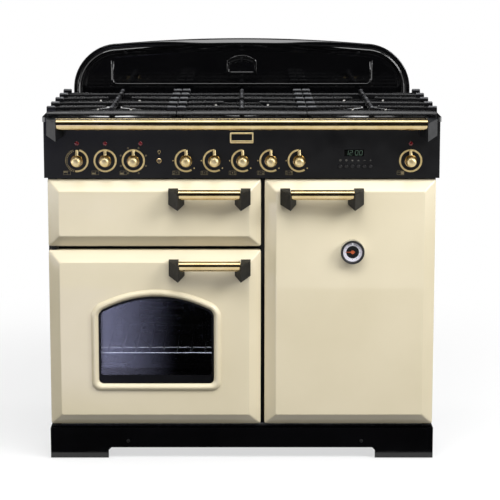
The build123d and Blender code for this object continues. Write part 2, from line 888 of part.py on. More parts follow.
# Control panel: folded front with closed ends, and everything fitted in its face.
# Places along it are shares of the body width, to a tenth of a millimetre
oven_knob_share = -0.4211
oven_pitch_share = 0.07203
gas_knob_share = -0.14242
gas_pitch_share = 0.07223
tall_knob_share = 0.43135
neon_shift_share = 0.01844
light_button_share = -0.21107
clock_share = 0.28689
timer_share = 0.25195
timer_pitch_share = 0.01537
oven_knob_count = 3
gas_knob_count = 5
control_rise = 43.5
spindle_radius = 3.0
spindle_hole = 5.0
neon_rise = 86.5
neon_radius = 5.5
neon_round = 2.0
neon_proud = 3.0
neon_body = 14.0
light_button_radius = 6.0
clock_window_width = 49.0
clock_window_height = 17.0
clock_rise = 63.0
clock_lens_margin = 6.0
clock_lens_thickness = 1.5
timer_count = 6
timer_rise = 29.5
timer_radius = 4.0
button_round_share = 0.2
button_travel = 1.5
button_proud = 4.0
stem_radius = 2.0

half_panel = panel_width / 2
panel_back_y = panel_front_y + sheet
control_level = panel_bottom + control_rise
neon_level = panel_bottom + neon_rise
clock_window_level = panel_bottom + clock_rise
timer_level = panel_bottom + timer_rise


def across(share):
    return round(share * body_width, 1)


def row_across(first_share, pitch_share, count):
    return [across(first_share) + place * across(pitch_share) for place in range(count)]


oven_knobs = row_across(oven_knob_share, oven_pitch_share, oven_knob_count) + [across(tall_knob_share)]
gas_knobs = row_across(gas_knob_share, gas_pitch_share, gas_knob_count)
timer_buttons = row_across(timer_share, timer_pitch_share, timer_count)
neons = [oven_knobs[0], oven_knobs[1], oven_knobs[2] + across(neon_shift_share), oven_knobs[3]]
light_button_x = across(light_button_share)
clock_x = across(clock_share)


def control_panel():
    fold_y = frame_back_y
    section = polygon(
        (panel_front_y, panel_bottom), (fold_y, panel_bottom), (fold_y, panel_bottom + sheet),
        (panel_back_y, panel_bottom + sheet), (panel_back_y, panel_top - sheet),
        (fold_y, panel_top - sheet), (fold_y, panel_top), (panel_front_y, panel_top),
    )
    panel = side_profile(section, -half_panel, half_panel)
    for side in (-1, 1):
        x0, x1 = sorted((side * half_panel, side * (half_panel - sheet)))
        panel += slab(x0, x1, panel_front_y, fold_y, panel_bottom, panel_top)
    holes = [(x, control_level, spindle_hole) for x in oven_knobs + gas_knobs]
    holes += [(x, neon_level, neon_radius) for x in neons]
    holes += [(x, timer_level, timer_radius + seat_gap) for x in timer_buttons]
    holes += [(light_button_x, control_level, light_button_radius + seat_gap)]
    for x, level, radius in holes:
        panel -= rod_y(x, level, radius, panel_front_y, panel_back_y)
    panel -= plate(clock_window(0), panel_front_y, panel_back_y)
    return panel


def clock_window(grow):
    half = clock_window_width / 2 + grow
    rise = clock_window_height + grow
    low = clock_window_level - rise / 2
    return rect(clock_x - half, clock_x + half, low, low + rise)


def panel_lenses():
    lenses = []
    for x in neons:
        lens = rod_y(x, neon_level, neon_radius, panel_front_y - neon_proud, panel_front_y + neon_body)
        lenses.append(chamfer(lens.edges().group_by(Axis.Y)[0], neon_round))
    lens_back_y = panel_back_y + clock_lens_thickness
    lenses.append(plate(clock_window(clock_lens_margin), panel_back_y, lens_back_y))
    return lenses


# Knobs: domed brass caps on a stepped collar, with a pointer flag at twelve o'clock
knob_collar_radius = 15.5
knob_neck_radius = 11.5
knob_cap_radius = 12.8
knob_collar_depth = 8.0
knob_round = 2.0
knob_neck_length = 7.0
knob_flare = 3.0
knob_depth = 37.0
knob_dome = 9.0
dome_share = 0.6
knob_standoff = 0.6
flag_width = 6.5
flag_reach = 27.0
flag_depth = 4.0
flag_root = 3.0
spindle_depth = 14.0
tap_setback = 12.0

tap_front_y = panel_back_y + tap_setback


def knob(x):
    front = -knob_depth
    collar = -knob_collar_depth
    dome_radius = (knob_cap_radius ** 2 + knob_dome ** 2) / (2 * knob_dome)
    dome_x = knob_cap_radius * dome_share
    dome_y = front + dome_radius - (dome_radius ** 2 - dome_x ** 2) ** 0.5
    step = collar - knob_round / 2
    neck = step - knob_neck_length
    profile = make_face([
        Polyline(
            (0, -knob_standoff), (knob_collar_radius, -knob_standoff),
            (knob_collar_radius, collar + knob_round), (knob_collar_radius - knob_round, collar),
            (knob_neck_radius, step), (knob_neck_radius, neck),
            (knob_cap_radius, neck - knob_flare), (knob_cap_radius, front + knob_dome),
        ),
        ThreePointArc((knob_cap_radius, front + knob_dome), (dome_x, dome_y), (0, front)),
        Line((0, front), (0, -knob_standoff)),
    ])
    body = revolve(profile, Axis.Y)
    half = flag_width / 2
    body += slab(
        -half, half, -knob_standoff - flag_depth, -knob_standoff,
        knob_collar_radius - flag_root, flag_reach,
    )
    body += rod_y(0, 0, spindle_radius, -knob_standoff, tap_front_y + spindle_depth - panel_front_y)
    return Pos(x, panel_front_y, control_level) * body


def push_button(x, level, radius):
    rear_y = panel_back_y + 2 * button_travel
    head = rod_y(x, level, radius, panel_front_y - button_proud, rear_y)
    head = chamfer(head.edges().group_by(Axis.Y)[0], radius * button_round_share)
    return head + rod_y(x, level, stem_radius, rear_y, tap_front_y + spindle_depth)


# Behind the panel: oven controls, clock module, light switch and the gas rail with its taps
control_body = 38.0
control_length = 34.0
bore_extra = 3.0
tap_radius = 13.0
tap_length = 40.0
tap_neck_half = 8.0
tap_neck_depth = 16.0
tap_lug_half = 5.0
tap_lug_overlap = 8.0
gas_rail_side = 18.0
gas_rail_rise = 22.0
gas_rail_reach = 30.0
supply_radius = 8.0
inlet_collar = 10.0
clock_body_margin = 16.0
switch_margin = 2.0
body_bracket = 6.0


def bored_body(x0, x1, z0, z1, length, spots, radius):
    # Switch body reaching to the panel's back by two lugs, bored for its spindles
    rear_y = tap_front_y + length
    body = slab(x0, x1, tap_front_y, rear_y, z0, z1)
    for lug_x in (x0, x1 - body_bracket):
        body += slab(lug_x, lug_x + body_bracket, panel_back_y, tap_front_y, z0, z1)
    for x, level in spots:
        depth = spindle_depth + bore_extra
        body -= rod_y(x, level, radius + running_clearance, tap_front_y, tap_front_y + depth)
    return body


def gas_assembly():
    half = gas_rail_side / 2
    gas_y = tap_front_y + tap_length
    gas_back_y = gas_y + gas_rail_side
    gas_level = control_level + gas_rail_rise
    gas_top = gas_level + half
    gas_x0 = gas_knobs[0] - gas_rail_reach
    rail = slab(gas_x0, inlet_x + half, gas_y, gas_back_y, gas_level - half, gas_top)
    for x in gas_knobs:
        tap = rod_y(x, control_level, tap_radius, tap_front_y, gas_y)
        tap += slab(
            x - tap_neck_half, x + tap_neck_half, gas_y - tap_neck_depth, gas_y, control_level, gas_top,
        )
        for lug_x in (x - tap_radius, x + tap_radius - body_bracket):
            tap += slab(
                lug_x, lug_x + body_bracket, panel_back_y, tap_front_y + tap_lug_overlap,
                control_level - tap_lug_half, control_level + tap_lug_half,
            )
        rail += tap
    bore = spindle_radius + running_clearance
    bore_end = tap_front_y + spindle_depth + bore_extra
    for x in gas_knobs:
        rail -= rod_y(x, control_level, bore, tap_front_y, bore_end)
    riser = slab(inlet_x - half, inlet_x + half, gas_y, gas_back_y, inlet_level - half, gas_level)
    supply = rod_y(inlet_x, inlet_level, supply_radius, gas_y + half, cover_front_y)
    inlet = rod_y(inlet_x, inlet_level, inlet_radius, cover_front_y - inlet_collar, back_y)
    thread = rod_y(inlet_x, inlet_level, inlet_thread_radius, back_y - inlet_thread_depth, back_y)
    return rail + riser + supply + inlet - thread


def control_gear():
    half = control_body / 2
    gear = [gas_assembly()]
    for x in oven_knobs:
        spot = [(x, control_level)]
        gear.append(bored_body(
            x - half, x + half, control_level - half, control_level + half, control_length,
            spot, spindle_radius,
        ))
    side = light_button_radius + body_bracket + switch_margin
    gear.append(bored_body(
        light_button_x - side, light_button_x + side, control_level - side, control_level + side,
        control_length, [(light_button_x, control_level)], stem_radius,
    ))
    timer_span = timer_buttons[-1] - timer_buttons[0]
    clock_half = max(clock_window_width, timer_span) / 2 + clock_body_margin
    middle = timer_buttons[0] + timer_span / 2
    spots = [(x, timer_level) for x in timer_buttons]
    gear.append(bored_body(
        middle - clock_half, middle + clock_half, timer_level - clock_body_margin,
        clock_window_level + clock_body_margin, control_length, spots, stem_radius,
    ))
    return gear


nodes["control_panel"] = [control_panel()]
nodes["panel_lenses"] = panel_lenses()
nodes["control_gear"] = control_gear()
knob_names = ["grill_knob", "oven_temperature_knob", "oven_function_knob", "tall_oven_knob"]
for name, x in zip(knob_names, oven_knobs):
    nodes[name] = [knob(x)]
for number, x in enumerate(gas_knobs, 1):
    nodes[f"gas_knob_{number}"] = [knob(x)]
for number, x in enumerate(timer_buttons, 1):
    nodes[f"timer_button_{number}"] = [push_button(x, timer_level, timer_radius)]
nodes["light_button"] = [push_button(light_button_x, control_level, light_button_radius)]

# Handrail along the control panel
rail_bracket_scale = 1.1
rail_radius = 14.5
rail_axis = 38.0
rail_projection = 57.0
rail_drop = 1.5
rail_level = panel_top - rail_drop
rail_bracket_inset = 12.0
rail_bracket_x = hob_width / 2 - rail_bracket_inset - bracket_outer * rail_bracket_scale
rail_x = rail_bracket_x - bar_end_gap


def rail_tube(radius, end):
    return rod_x(panel_front_y - rail_axis, rail_level, radius, -end, end)


rail_socket = rail_tube(rail_radius + fit_clearance, rail_x + fit_clearance)
left_rail_bracket = faceted_bracket(rail_bracket_scale, rail_projection)
right_rail_bracket = mirror(left_rail_bracket, about=Plane.YZ)
rail_brackets = [
    Pos(-rail_bracket_x, panel_front_y, rail_level) * left_rail_bracket - rail_socket,
    Pos(rail_bracket_x, panel_front_y, rail_level) * right_rail_bracket - rail_socket,
]
nodes["handrail_bar"] = [rail_tube(rail_radius, rail_x)]
nodes["handrail_brackets"] = rail_brackets

# Fans: an impeller in each oven, its motor behind the liner, and a slotted cover in front
fan_radius = 72.0
fan_hub_radius = 14.0
fan_blades = 12
fan_depth = 22.0
fan_shaft_radius = 4.0
fan_back_gap = 6.0
blade_root_share = 0.62
blade_half = 1.0
shaft_end_gap = 2.0
motor_radius = 36.0
motor_length = 48.0
motor_bore = 30.0
cover_side = 220.0
cover_depth = 44.0
cover_corner = 14.0
cover_slots = 7
cover_slot_height = 8.0
cover_slot_pitch = 22.0
cover_slot_length = 120.0
ring_radius = 88.0
ring_section = 7.0
ring_leg_offset = 16.0
ring_leg_rise = 2.0

fan_ovens = {"main_oven_fan": main_oven, "tall_oven_fan": tall_oven}


def fan_place(cavity):
    centre, width, floor, height, depth = cavity
    return centre, floor + height / 2, frame_back_y + depth


def impeller(cavity):
    x, level, wall_y = fan_place(cavity)
    rear = -fan_back_gap
    front = rear - fan_depth
    disc = rod_y(0, 0, fan_radius, rear - sheet, rear)
    disc += rod_y(0, 0, fan_hub_radius, front, rear)
    tip = fan_radius - blade_half
    blade = slab(fan_radius * blade_root_share, tip, front, rear - sheet, -blade_half, blade_half)
    for turn in range(fan_blades):
        disc += Rot(0, turn * 360 / fan_blades, 0) * blade
    disc += rod_y(0, 0, fan_shaft_radius, rear, sheet + motor_bore - shaft_end_gap)
    return Pos(x, wall_y, level) * disc


def fan_motor(cavity):
    x, level, wall_y = fan_place(cavity)
    front = wall_y + sheet
    motor = rod_y(x, level, motor_radius, front, front + motor_length)
    return motor - rod_y(x, level, fan_shaft_radius + running_clearance, front, front + motor_bore)


def fan_cover(cavity):
    x, level, wall_y = fan_place(cavity)
    half = cover_side / 2
    face = rect(x - half, x + half, level - half, level + half, cover_corner)
    inner_half = half - sheet
    inner = rect(
        x - inner_half, x + inner_half, level - inner_half, level + inner_half, cover_corner - sheet,
    )
    front = wall_y - cover_depth
    grille = face
    for slot in range(cover_slots):
        slot_level = level + (slot - (cover_slots - 1) / 2) * cover_slot_pitch
        grille -= rect(
            x - cover_slot_length / 2, x + cover_slot_length / 2,
            slot_level - cover_slot_height / 2, slot_level + cover_slot_height / 2,
        )
    return plate(grille, front, front + sheet) + plate(face - inner, front + sheet, wall_y)


def ring_element(cavity):
    x, level, wall_y = fan_place(cavity)
    front = wall_y - fan_back_gap - fan_depth
    band = Pos(x, level) * (Circle(ring_radius) - Circle(ring_radius - ring_section))
    ring = plate(band, front, front + ring_section)
    for side in (-1, 1):
        leg_x = x + side * ring_leg_offset
        leg_level = level - ring_radius + ring_section / 2 + ring_leg_rise
        ring += rod_y(leg_x, leg_level, ring_section / 2, front, wall_y)
    return ring


# Grill element: one rod bent to and fro under the roof of the grill chamber
element_radius = 4.0
element_runs = 6
element_pitch = 50.0
element_drop = 22.0
element_front = 50.0
element_length = 260.0
element_bend_share = 0.45


def grill_element():
    centre, width, floor, height, depth = grill_cavity
    level = floor + height - element_drop
    front = frame_back_y + element_front
    rear = front + element_length
    wall_y = frame_back_y + depth
    points = []
    for run in range(element_runs):
        x = centre + (run - (element_runs - 1) / 2) * element_pitch
        ends = [(x, rear, level), (x, front, level)]
        if run % 2:
            ends.reverse()
        points += ends
    points[0] = (points[0][0], wall_y, level)
    points[-1] = (points[-1][0], wall_y, level)
    path = FilletPolyline(*points, radius=element_pitch * element_bend_share)
    section = Plane(origin=points[0], z_dir=(0, -1, 0)) * RegularPolygon(element_radius, 8)
    return sweep(section, path=path)


# Grill pan on the floor of its chamber
pan_width = 368.0
pan_depth = 350.0
pan_height = 34.0
pan_corner = 20.0
pan_setback = 12.0
pan_lip = 8.0


def grill_pan():
    centre, width, floor, height, depth = grill_cavity
    y0 = frame_back_y + pan_setback
    y1 = y0 + pan_depth
    x0 = centre - pan_width / 2
    x1 = centre + pan_width / 2
    outer = rect(x0, x1, y0, y1, pan_corner)
    inner = rect(x0 + sheet, x1 - sheet, y0 + sheet, y1 - sheet, pan_corner - sheet)
    lip = rect(x0 - pan_lip, x1 + pan_lip, y0 - pan_lip, y1 + pan_lip, pan_corner + pan_lip)
    pan = layer(outer - inner, floor, floor + pan_height) + layer(outer, floor, floor + sheet)
    return pan + layer(lip - inner, floor + pan_height - sheet, floor + pan_height)


# Shelves: wire ladders on the oven walls carry wire racks
wire = 5.0
rack_wires = 12
rack_setback = 20.0
rack_second_bar = 62.0
ladder_reach = 12.0
main_rack_level = 120.0
main_ladder_levels = (50.0, main_rack_level, 190.0)
tall_rack_levels = (110.0, 260.0, 400.0)


def rack(cavity, level):
    centre, width, floor, height, depth = cavity
    half = width / 2 - wire - seat_gap
    y0 = frame_back_y + rack_setback
    y1 = frame_back_y + depth - cover_depth - rack_setback
    z0 = floor + level
    grid = None
    for y in (y0, y0 + rack_second_bar, y1):
        bar = slab(centre - half, centre + half, y - wire / 2, y + wire / 2, z0, z0 + wire)
        grid = bar if grid is None else grid + bar
    for number in range(rack_wires):
        x = centre + (number / (rack_wires - 1) - 0.5) * (2 * half - wire)
        grid += slab(x - wire / 2, x + wire / 2, y0, y1, z0 + wire / 2, z0 + 1.5 * wire)
    return grid


def ladders(cavity, levels):
    centre, width, floor, height, depth = cavity
    y0 = frame_back_y + 2 * rack_setback
    y1 = frame_back_y + depth - cover_depth - 2 * rack_setback
    pair = []
    for side in (-1, 1):
        wall_x = centre + side * width / 2
        inner = wall_x - side * wire
        step = wall_x - side * ladder_reach
        px0, px1 = sorted((wall_x, inner))
        sx0, sx1 = sorted((wall_x, step))
        post_foot = floor + 2 * cavity_corner
        post_head = floor + height - 2 * cavity_corner
        frame = None
        for y in (y0, y1):
            post = slab(px0, px1, y - wire / 2, y + wire / 2, post_foot, post_head)
            frame = post if frame is None else frame + post
        for level in levels:
            top = floor + level
            frame += slab(sx0, sx1, y0, y1, top - wire, top)
        pair.append(frame)
    return pair


oven_shelves = ladders(main_oven, main_ladder_levels)
oven_shelves += ladders(tall_oven, tall_rack_levels)
oven_shelves.append(rack(main_oven, main_rack_level))
oven_shelves += [rack(tall_oven, level) for level in tall_rack_levels]

nodes["oven_shelves"] = oven_shelves
nodes["grill_pan"] = [grill_pan()]
nodes["heating_elements"] = [grill_element()] + [ring_element(oven) for oven in fan_ovens.values()]
nodes["fan_motors"] = [fan_motor(oven) for oven in fan_ovens.values()]
nodes["fan_covers"] = [fan_cover(oven) for oven in fan_ovens.values()]
for name, oven in fan_ovens.items():
    nodes[name] = [impeller(oven)]

os.makedirs("parts", exist_ok=True)
for name, pieces in nodes.items():
    solids = [solid for piece in pieces for solid in piece.solids()]
    shape = solids[0] if len(solids) == 1 else Compound(children=solids)
    export_step(shape, f"parts/{name}.step")
    print(name, len(solids))
print(len(nodes), "nodes")
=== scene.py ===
import json
import math
import bpy
import bmesh
import numpy as np
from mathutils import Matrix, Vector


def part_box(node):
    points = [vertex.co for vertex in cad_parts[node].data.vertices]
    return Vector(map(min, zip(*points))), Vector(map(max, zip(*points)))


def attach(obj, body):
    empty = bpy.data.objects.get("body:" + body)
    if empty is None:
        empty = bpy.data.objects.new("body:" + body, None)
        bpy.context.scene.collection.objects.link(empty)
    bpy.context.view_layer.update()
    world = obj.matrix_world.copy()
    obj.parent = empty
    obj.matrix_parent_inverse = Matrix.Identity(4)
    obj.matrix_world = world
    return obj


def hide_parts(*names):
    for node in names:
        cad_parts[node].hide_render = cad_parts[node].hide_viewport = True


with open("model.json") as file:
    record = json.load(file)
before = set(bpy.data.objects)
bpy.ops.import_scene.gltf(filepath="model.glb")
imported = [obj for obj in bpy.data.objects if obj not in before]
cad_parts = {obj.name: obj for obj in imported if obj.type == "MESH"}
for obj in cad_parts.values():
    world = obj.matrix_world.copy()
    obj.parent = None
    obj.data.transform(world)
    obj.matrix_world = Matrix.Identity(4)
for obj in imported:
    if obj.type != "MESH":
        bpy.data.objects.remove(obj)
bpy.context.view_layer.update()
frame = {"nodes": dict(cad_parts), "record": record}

nodes = frame["nodes"]
mm = 0.001
scene = bpy.context.scene
scene.view_settings.view_transform = "Standard"
print("frame loaded:", len(nodes), "nodes")


# sRGB hex to a linear colour
def hexColour(code):
    part = np.array([int(code[i:i + 2], 16) for i in (0, 2, 4)]) / 255
    linear = np.where(part <= 0.04045, part / 12.92, ((part + 0.055) / 1.055) ** 2.4)
    return (*linear.tolist(), 1.0)


# adds one node: settings are set by name, inputs are values or other nodes' sockets
def addNode(tree, kind, settings=None, inputs=None):
    node = tree.nodes.new(kind)
    for key, value in (settings or {}).items():
        setattr(node, key, value)
    for key, value in (inputs or {}).items():
        if isinstance(value, bpy.types.NodeSocket):
            tree.links.new(value, node.inputs[key])
        else:
            node.inputs[key].default_value = value
    return node


# a material with nothing in its tree
def emptyMaterial(name):
    material = bpy.data.materials.new(name)
    material.use_nodes = True
    material.node_tree.nodes.clear()
    return material


# a material with its principled shader and output
def newMaterial(name, sockets):
    material = emptyMaterial(name)
    tree = material.node_tree
    shader = addNode(tree, "ShaderNodeBsdfPrincipled", inputs=sockets)
    addNode(tree, "ShaderNodeOutputMaterial", inputs={"Surface": shader.outputs[0]})
    return material, tree, shader


# the shader's colour, from one colour to another by a factor
def blendedColour(tree, shader, factor, dark, light):
    blend = addNode(tree, "ShaderNodeMix", {"data_type": "RGBA"}, {"Factor": factor, 6: dark, 7: light})
    tree.links.new(blend.outputs[2], shader.inputs["Base Color"])
    return blend.outputs[2]


# two tones of a colour blended by a noise of the given size in mm
def mottled(tree, shader, place, dark, light, size):
    noise = addNode(tree, "ShaderNodeTexNoise",
                    inputs={"Vector": place.outputs["Object"], "Scale": 1000 / size, "Detail": 3.0})
    ramp = addNode(tree, "ShaderNodeMapRange",
                   inputs={"Value": noise.outputs["Fac"], "From Min": 0.35, "From Max": 0.65})
    return blendedColour(tree, shader, ramp.outputs[0], hexColour(dark), hexColour(light))


# roughness that wanders between two values over patches of the given size in mm
def wornRoughness(tree, shader, place, low, high, size):
    noise = addNode(tree, "ShaderNodeTexNoise",
                    inputs={"Vector": place.outputs["Object"], "Scale": 1000 / size, "Detail": 4.0})
    ramp = addNode(tree, "ShaderNodeMapRange", inputs={"Value": noise.outputs["Fac"], "From Min": 0.3, "From Max": 0.7,
                                                       "To Min": low, "To Max": high})
    tree.links.new(ramp.outputs[0], shader.inputs["Roughness"])


# a bump from a noise: grain size in mm, height in mm
def grainBump(tree, shader, place, size, height):
    noise = addNode(tree, "ShaderNodeTexNoise",
                    inputs={"Vector": place.outputs["Object"], "Scale": 1000 / size, "Detail": 2.0})
    bump = addNode(tree, "ShaderNodeBump",
                   inputs={"Height": noise.outputs["Fac"], "Distance": height * mm, "Strength": 1.0})
    tree.links.new(bump.outputs[0], shader.inputs["Normal"])


finishes = {}


# a finish from its look: sockets hold what is the same all over, tones two colours and the size of their patches,
# rough the least and most roughness and the size of its patches, grain the size and height of a bump
def makeFinish(key, look):
    material, tree, shader = newMaterial(look["name"], look.get("sockets"))
    place = addNode(tree, "ShaderNodeTexCoord")
    if "tones" in look:
        mottled(tree, shader, place, *look["tones"])
    if "rough" in look:
        wornRoughness(tree, shader, place, *look["rough"])
    if "grain" in look:
        grainBump(tree, shader, place, *look["grain"])
    finishes[key] = material
    return tree, shader, place


finishLooks = {
    # vitreous enamel: glass fired on pressed steel, so a warm cream under a hard gloss with a faint orange peel
    "cream_enamel": {"name": "creamVitreousEnamel", "sockets": {"IOR": 1.52}, "tones": ("DBD0B3", "E0D5B9", 220.0),
                     "rough": (0.12, 0.2, 60.0), "grain": (5.0, 0.004)},
    # black gloss enamel: the same glass coat over black, faint peel, a few dusty patches
    "black_enamel": {"name": "blackGlossEnamel", "sockets": {"IOR": 1.52}, "tones": ("050506", "08080A", 120.0),
                     "rough": (0.09, 0.17, 70.0), "grain": (6.0, 0.006)},
    # glassy black enamel on the splashback: deep black, almost a mirror
    "splash_enamel": {"name": "vitreousBlackEnamel", "sockets": {"IOR": 1.75}, "tones": ("040405", "060607", 120.0),
                      "rough": (0.04, 0.08, 70.0)},
    # satin black stove paint: fine powder texture, soft sheen
    "black_paint": {"name": "satinBlackPaint", "sockets": {"IOR": 1.36}, "tones": ("0B0B0C", "101011", 90.0),
                    "rough": (0.34, 0.46, 40.0), "grain": (1.6, 0.015)},
    # black ceramic ink fired on the window: a dull black film
    "frit": {"name": "ceramicFrit", "sockets": {"IOR": 1.3}, "tones": ("040404", "070708", 40.0),
             "rough": (0.3, 0.4, 30.0)},
    # polished and lacquered brass: yellow metal, soft buffing haze
    "brass": {"name": "polishedBrass", "sockets": {"Metallic": 1.0}, "tones": ("CCB584", "D8C498", 45.0),
              "rough": (0.1, 0.18, 25.0)},
    # satin brass of the knobs' caps: fine turning marks too small to see spread the highlights
    "satin_brass": {"name": "satinBrass", "sockets": {"Metallic": 1.0}, "tones": ("DCC690", "E8D6A8", 12.0),
                    "rough": (0.42, 0.5, 8.0)},
    # satin black lacquer on the die-cast brackets: slate tone, soft sheen
    "bracket_lacquer": {"name": "satinBlackLacquer", "sockets": {"IOR": 1.24}, "tones": ("111214", "17181A", 30.0),
                        "rough": (0.36, 0.46, 18.0), "grain": (1.2, 0.01)},
    # bright chromium plate: near mirror with a light haze
    "chrome": {"name": "chromePlate", "sockets": {"Metallic": 1.0}, "tones": ("C8CACE", "DCDEE2", 30.0),
               "rough": (0.08, 0.18, 20.0)},
    # die-cast aluminium: grey, slightly grainy
    "aluminium": {"name": "dieCastAluminium", "sockets": {"Metallic": 1.0}, "tones": ("9C9D9F", "B4B5B7", 15.0),
                  "rough": (0.32, 0.48, 12.0), "grain": (1.2, 0.03)},
    # toughened glass with a faint cool tint
    "glass": {"name": "toughenedGlass", "sockets": {"Roughness": 0.02, "IOR": 1.5, "Transmission Weight": 1.0},
              "tones": ("E6E8EE", "ECEEF2", 200.0)},
    # red signal lens: clear polycarbonate dyed through, lit faintly from behind
    "lens": {"name": "redSignalLens", "tones": ("560810", "74101A", 6.0),
             "sockets": {"Roughness": 0.03, "IOR": 1.58, "Emission Strength": 0.03,
                         "Emission Color": hexColour("B01810")}},
    # moulded phenolic plastic: near black, fine spark-eroded grain
    "black_plastic": {"name": "mouldedBlackPlastic", "sockets": {"IOR": 1.46}, "tones": ("171718", "202021", 25.0),
                      "rough": (0.34, 0.48, 15.0), "grain": (0.8, 0.02)},
    # grey rubber tyre with scuffed patches
    "tyre": {"name": "greyRubberTyre", "tones": ("3A3A3A", "4C4B49", 8.0), "rough": (0.6, 0.85, 10.0),
             "grain": (1.0, 0.06)},
    # glazed white ceramic of the spark electrodes: a smooth gloss, barely mottled
    "ceramic": {"name": "glazedCeramic", "sockets": {"Roughness": 0.2, "IOR": 1.5}, "tones": ("E4E0D8", "EFECE6", 3.0)},
    # orange enamel paint on the pointer, slightly uneven
    "pointer_paint": {"name": "orangePointerPaint", "sockets": {"Roughness": 0.35}, "tones": ("A8481E", "B85826", 3.0)}}
for key, look in finishLooks.items():
    makeFinish(key, look)


# oven ground-coat enamel: dark grey glass with pale pinhead flecks, one to a 7 mm cell
def makeGreyEnamel():
    look = {"name": "speckledOvenEnamel", "sockets": {"IOR": 1.52}, "rough": (0.2, 0.34, 50.0), "grain": (5.0, 0.01),
            "ground": "14161A", "fleck": "565A62", "cell": 7.0, "fleckInside": 0.04, "fleckOutside": 0.09}
    tree, shader, place = makeFinish("grey_enamel", look)
    fleck = addNode(tree, "ShaderNodeTexVoronoi",
                    inputs={"Vector": place.outputs["Object"], "Scale": 1000 / look["cell"]})
    ramp = addNode(tree, "ShaderNodeMapRange",
                   inputs={"Value": fleck.outputs["Distance"], "From Min": look["fleckInside"],
                           "From Max": look["fleckOutside"], "To Min": 1.0, "To Max": 0.0})
    blendedColour(tree, shader, ramp.outputs[0], hexColour(look["ground"]), hexColour(look["fleck"]))


# hot-dip galvanised sheet: leafy zinc spangle about 14 mm across, dull grey metal
def makeGalvanised():
    look = {"name": "galvanisedSheet", "sockets": {"Metallic": 1.0}, "dark": "A9ACAF", "light": "C6C9CB",
            "spangle": 14.0, "smooth": 0.3, "dull": 0.5}
    tree, shader, place = makeFinish("plain_steel", look)
    spangle = addNode(tree, "ShaderNodeTexVoronoi",
                      inputs={"Vector": place.outputs["Object"], "Scale": 1000 / look["spangle"]})
    tone = addNode(tree, "ShaderNodeSeparateColor", inputs={"Color": spangle.outputs["Color"]})
    blendedColour(tree, shader, tone.outputs[0], hexColour(look["dark"]), hexColour(look["light"]))
    ramp = addNode(tree, "ShaderNodeMapRange",
                   inputs={"Value": tone.outputs[1], "To Min": look["smooth"], "To Max": look["dull"]})
    tree.links.new(ramp.outputs[0], shader.inputs["Roughness"])


# cast iron under gloss enamel: blue-black, sand-mould grain near 1 mm softened by the glaze, and a painted highlight:
# pale grey on its highest parts, faded in between two levels in metres, standing in for light falling from above
def makeCastIron():
    look = {"name": "glazedCastIron", "sockets": {"IOR": 1.5}, "rough": (0.2, 0.32, 20.0), "grain": (1.4, 0.02),
            "glaze": ("070708", "0E0E10", 12.0), "paintedHighlight": "5E5F62", "highlightFrom": 0.8975, "highlightTo": 0.9025}
    tree, shader, place = makeFinish("cast_iron", look)
    glaze = mottled(tree, shader, place, *look["glaze"])
    axes = addNode(tree, "ShaderNodeSeparateXYZ", inputs={"Vector": place.outputs["Object"]})
    # painted highlight: parts above the lower level turn pale grey by their height alone
    ramp = addNode(tree, "ShaderNodeMapRange", inputs={"Value": axes.outputs["Z"], "From Min": look["highlightFrom"],
                                                       "From Max": look["highlightTo"]})
    blendedColour(tree, shader, ramp.outputs[0], glaze, hexColour(look["paintedHighlight"]))


# braided glass-fibre seal: dark cord with 3 mm plaits
def makeSeal():
    look = {"name": "braidedSeal", "sockets": {"Roughness": 0.85}, "tones": ("1B1B1B", "2C2C2B", 4.0),
            "plait": 3.0, "plaitHeight": 0.5}
    tree, shader, place = makeFinish("seal", look)
    weave = addNode(tree, "ShaderNodeTexWave", {"bands_direction": "DIAGONAL"},
                    {"Vector": place.outputs["Object"], "Scale": 1000 / look["plait"] / 6.28, "Distortion": 1.5})
    bump = addNode(tree, "ShaderNodeBump", inputs={"Height": weave.outputs["Fac"],
                                                   "Distance": look["plaitHeight"] * mm, "Strength": 1.0})
    tree.links.new(bump.outputs[0], shader.inputs["Normal"])


for make in (makeGreyEnamel, makeGalvanised, makeCastIron, makeSeal):
    make()
print("finishes:", len(finishes))

# every CAD node takes the finish of its record slot, apart from the brackets and the front frame
slotOf = {part["node"]: part["material_slot"] for part in frame["record"]["subparts"]}
for name, item in nodes.items():
    finish = slotOf[name]
    if name.endswith(("handle_brackets", "handrail_brackets")):
        finish = "bracket_lacquer"
    elif name == "front_frame":                                        # inside the door gaps it shows no gloss
        finish = "black_paint"
    item.data.materials.clear()
    item.data.materials.append(finishes[finish])
print("CAD nodes finished:", len(nodes))


# rows of points (rows, around, xyz) joined by quads; the end rows are capped by a fan about their middle, joined to
# each other, or left open
def loft(rows, ends="capped"):
    count, around = rows.shape[:2]
    first = np.arange(count if ends == "joined" else count - 1)[:, None]
    after = (first + 1) % count
    here = np.arange(around)[None, :]
    there = (here + 1) % around
    quads = np.stack([first * around + here, first * around + there,
                      after * around + there, after * around + here], axis=-1)
    points, faces = rows.reshape(-1, 3), quads.reshape(-1, 4).tolist()
    if ends == "capped":
        for row in (0, count - 1):
            rim = row * around + np.arange(around)
            hub = np.full(around, len(points))
            faces += np.stack([rim, np.roll(rim, -1), hub], axis=-1).tolist()
            points = np.vstack([points, rows[row].mean(axis=0)])
    return points, faces


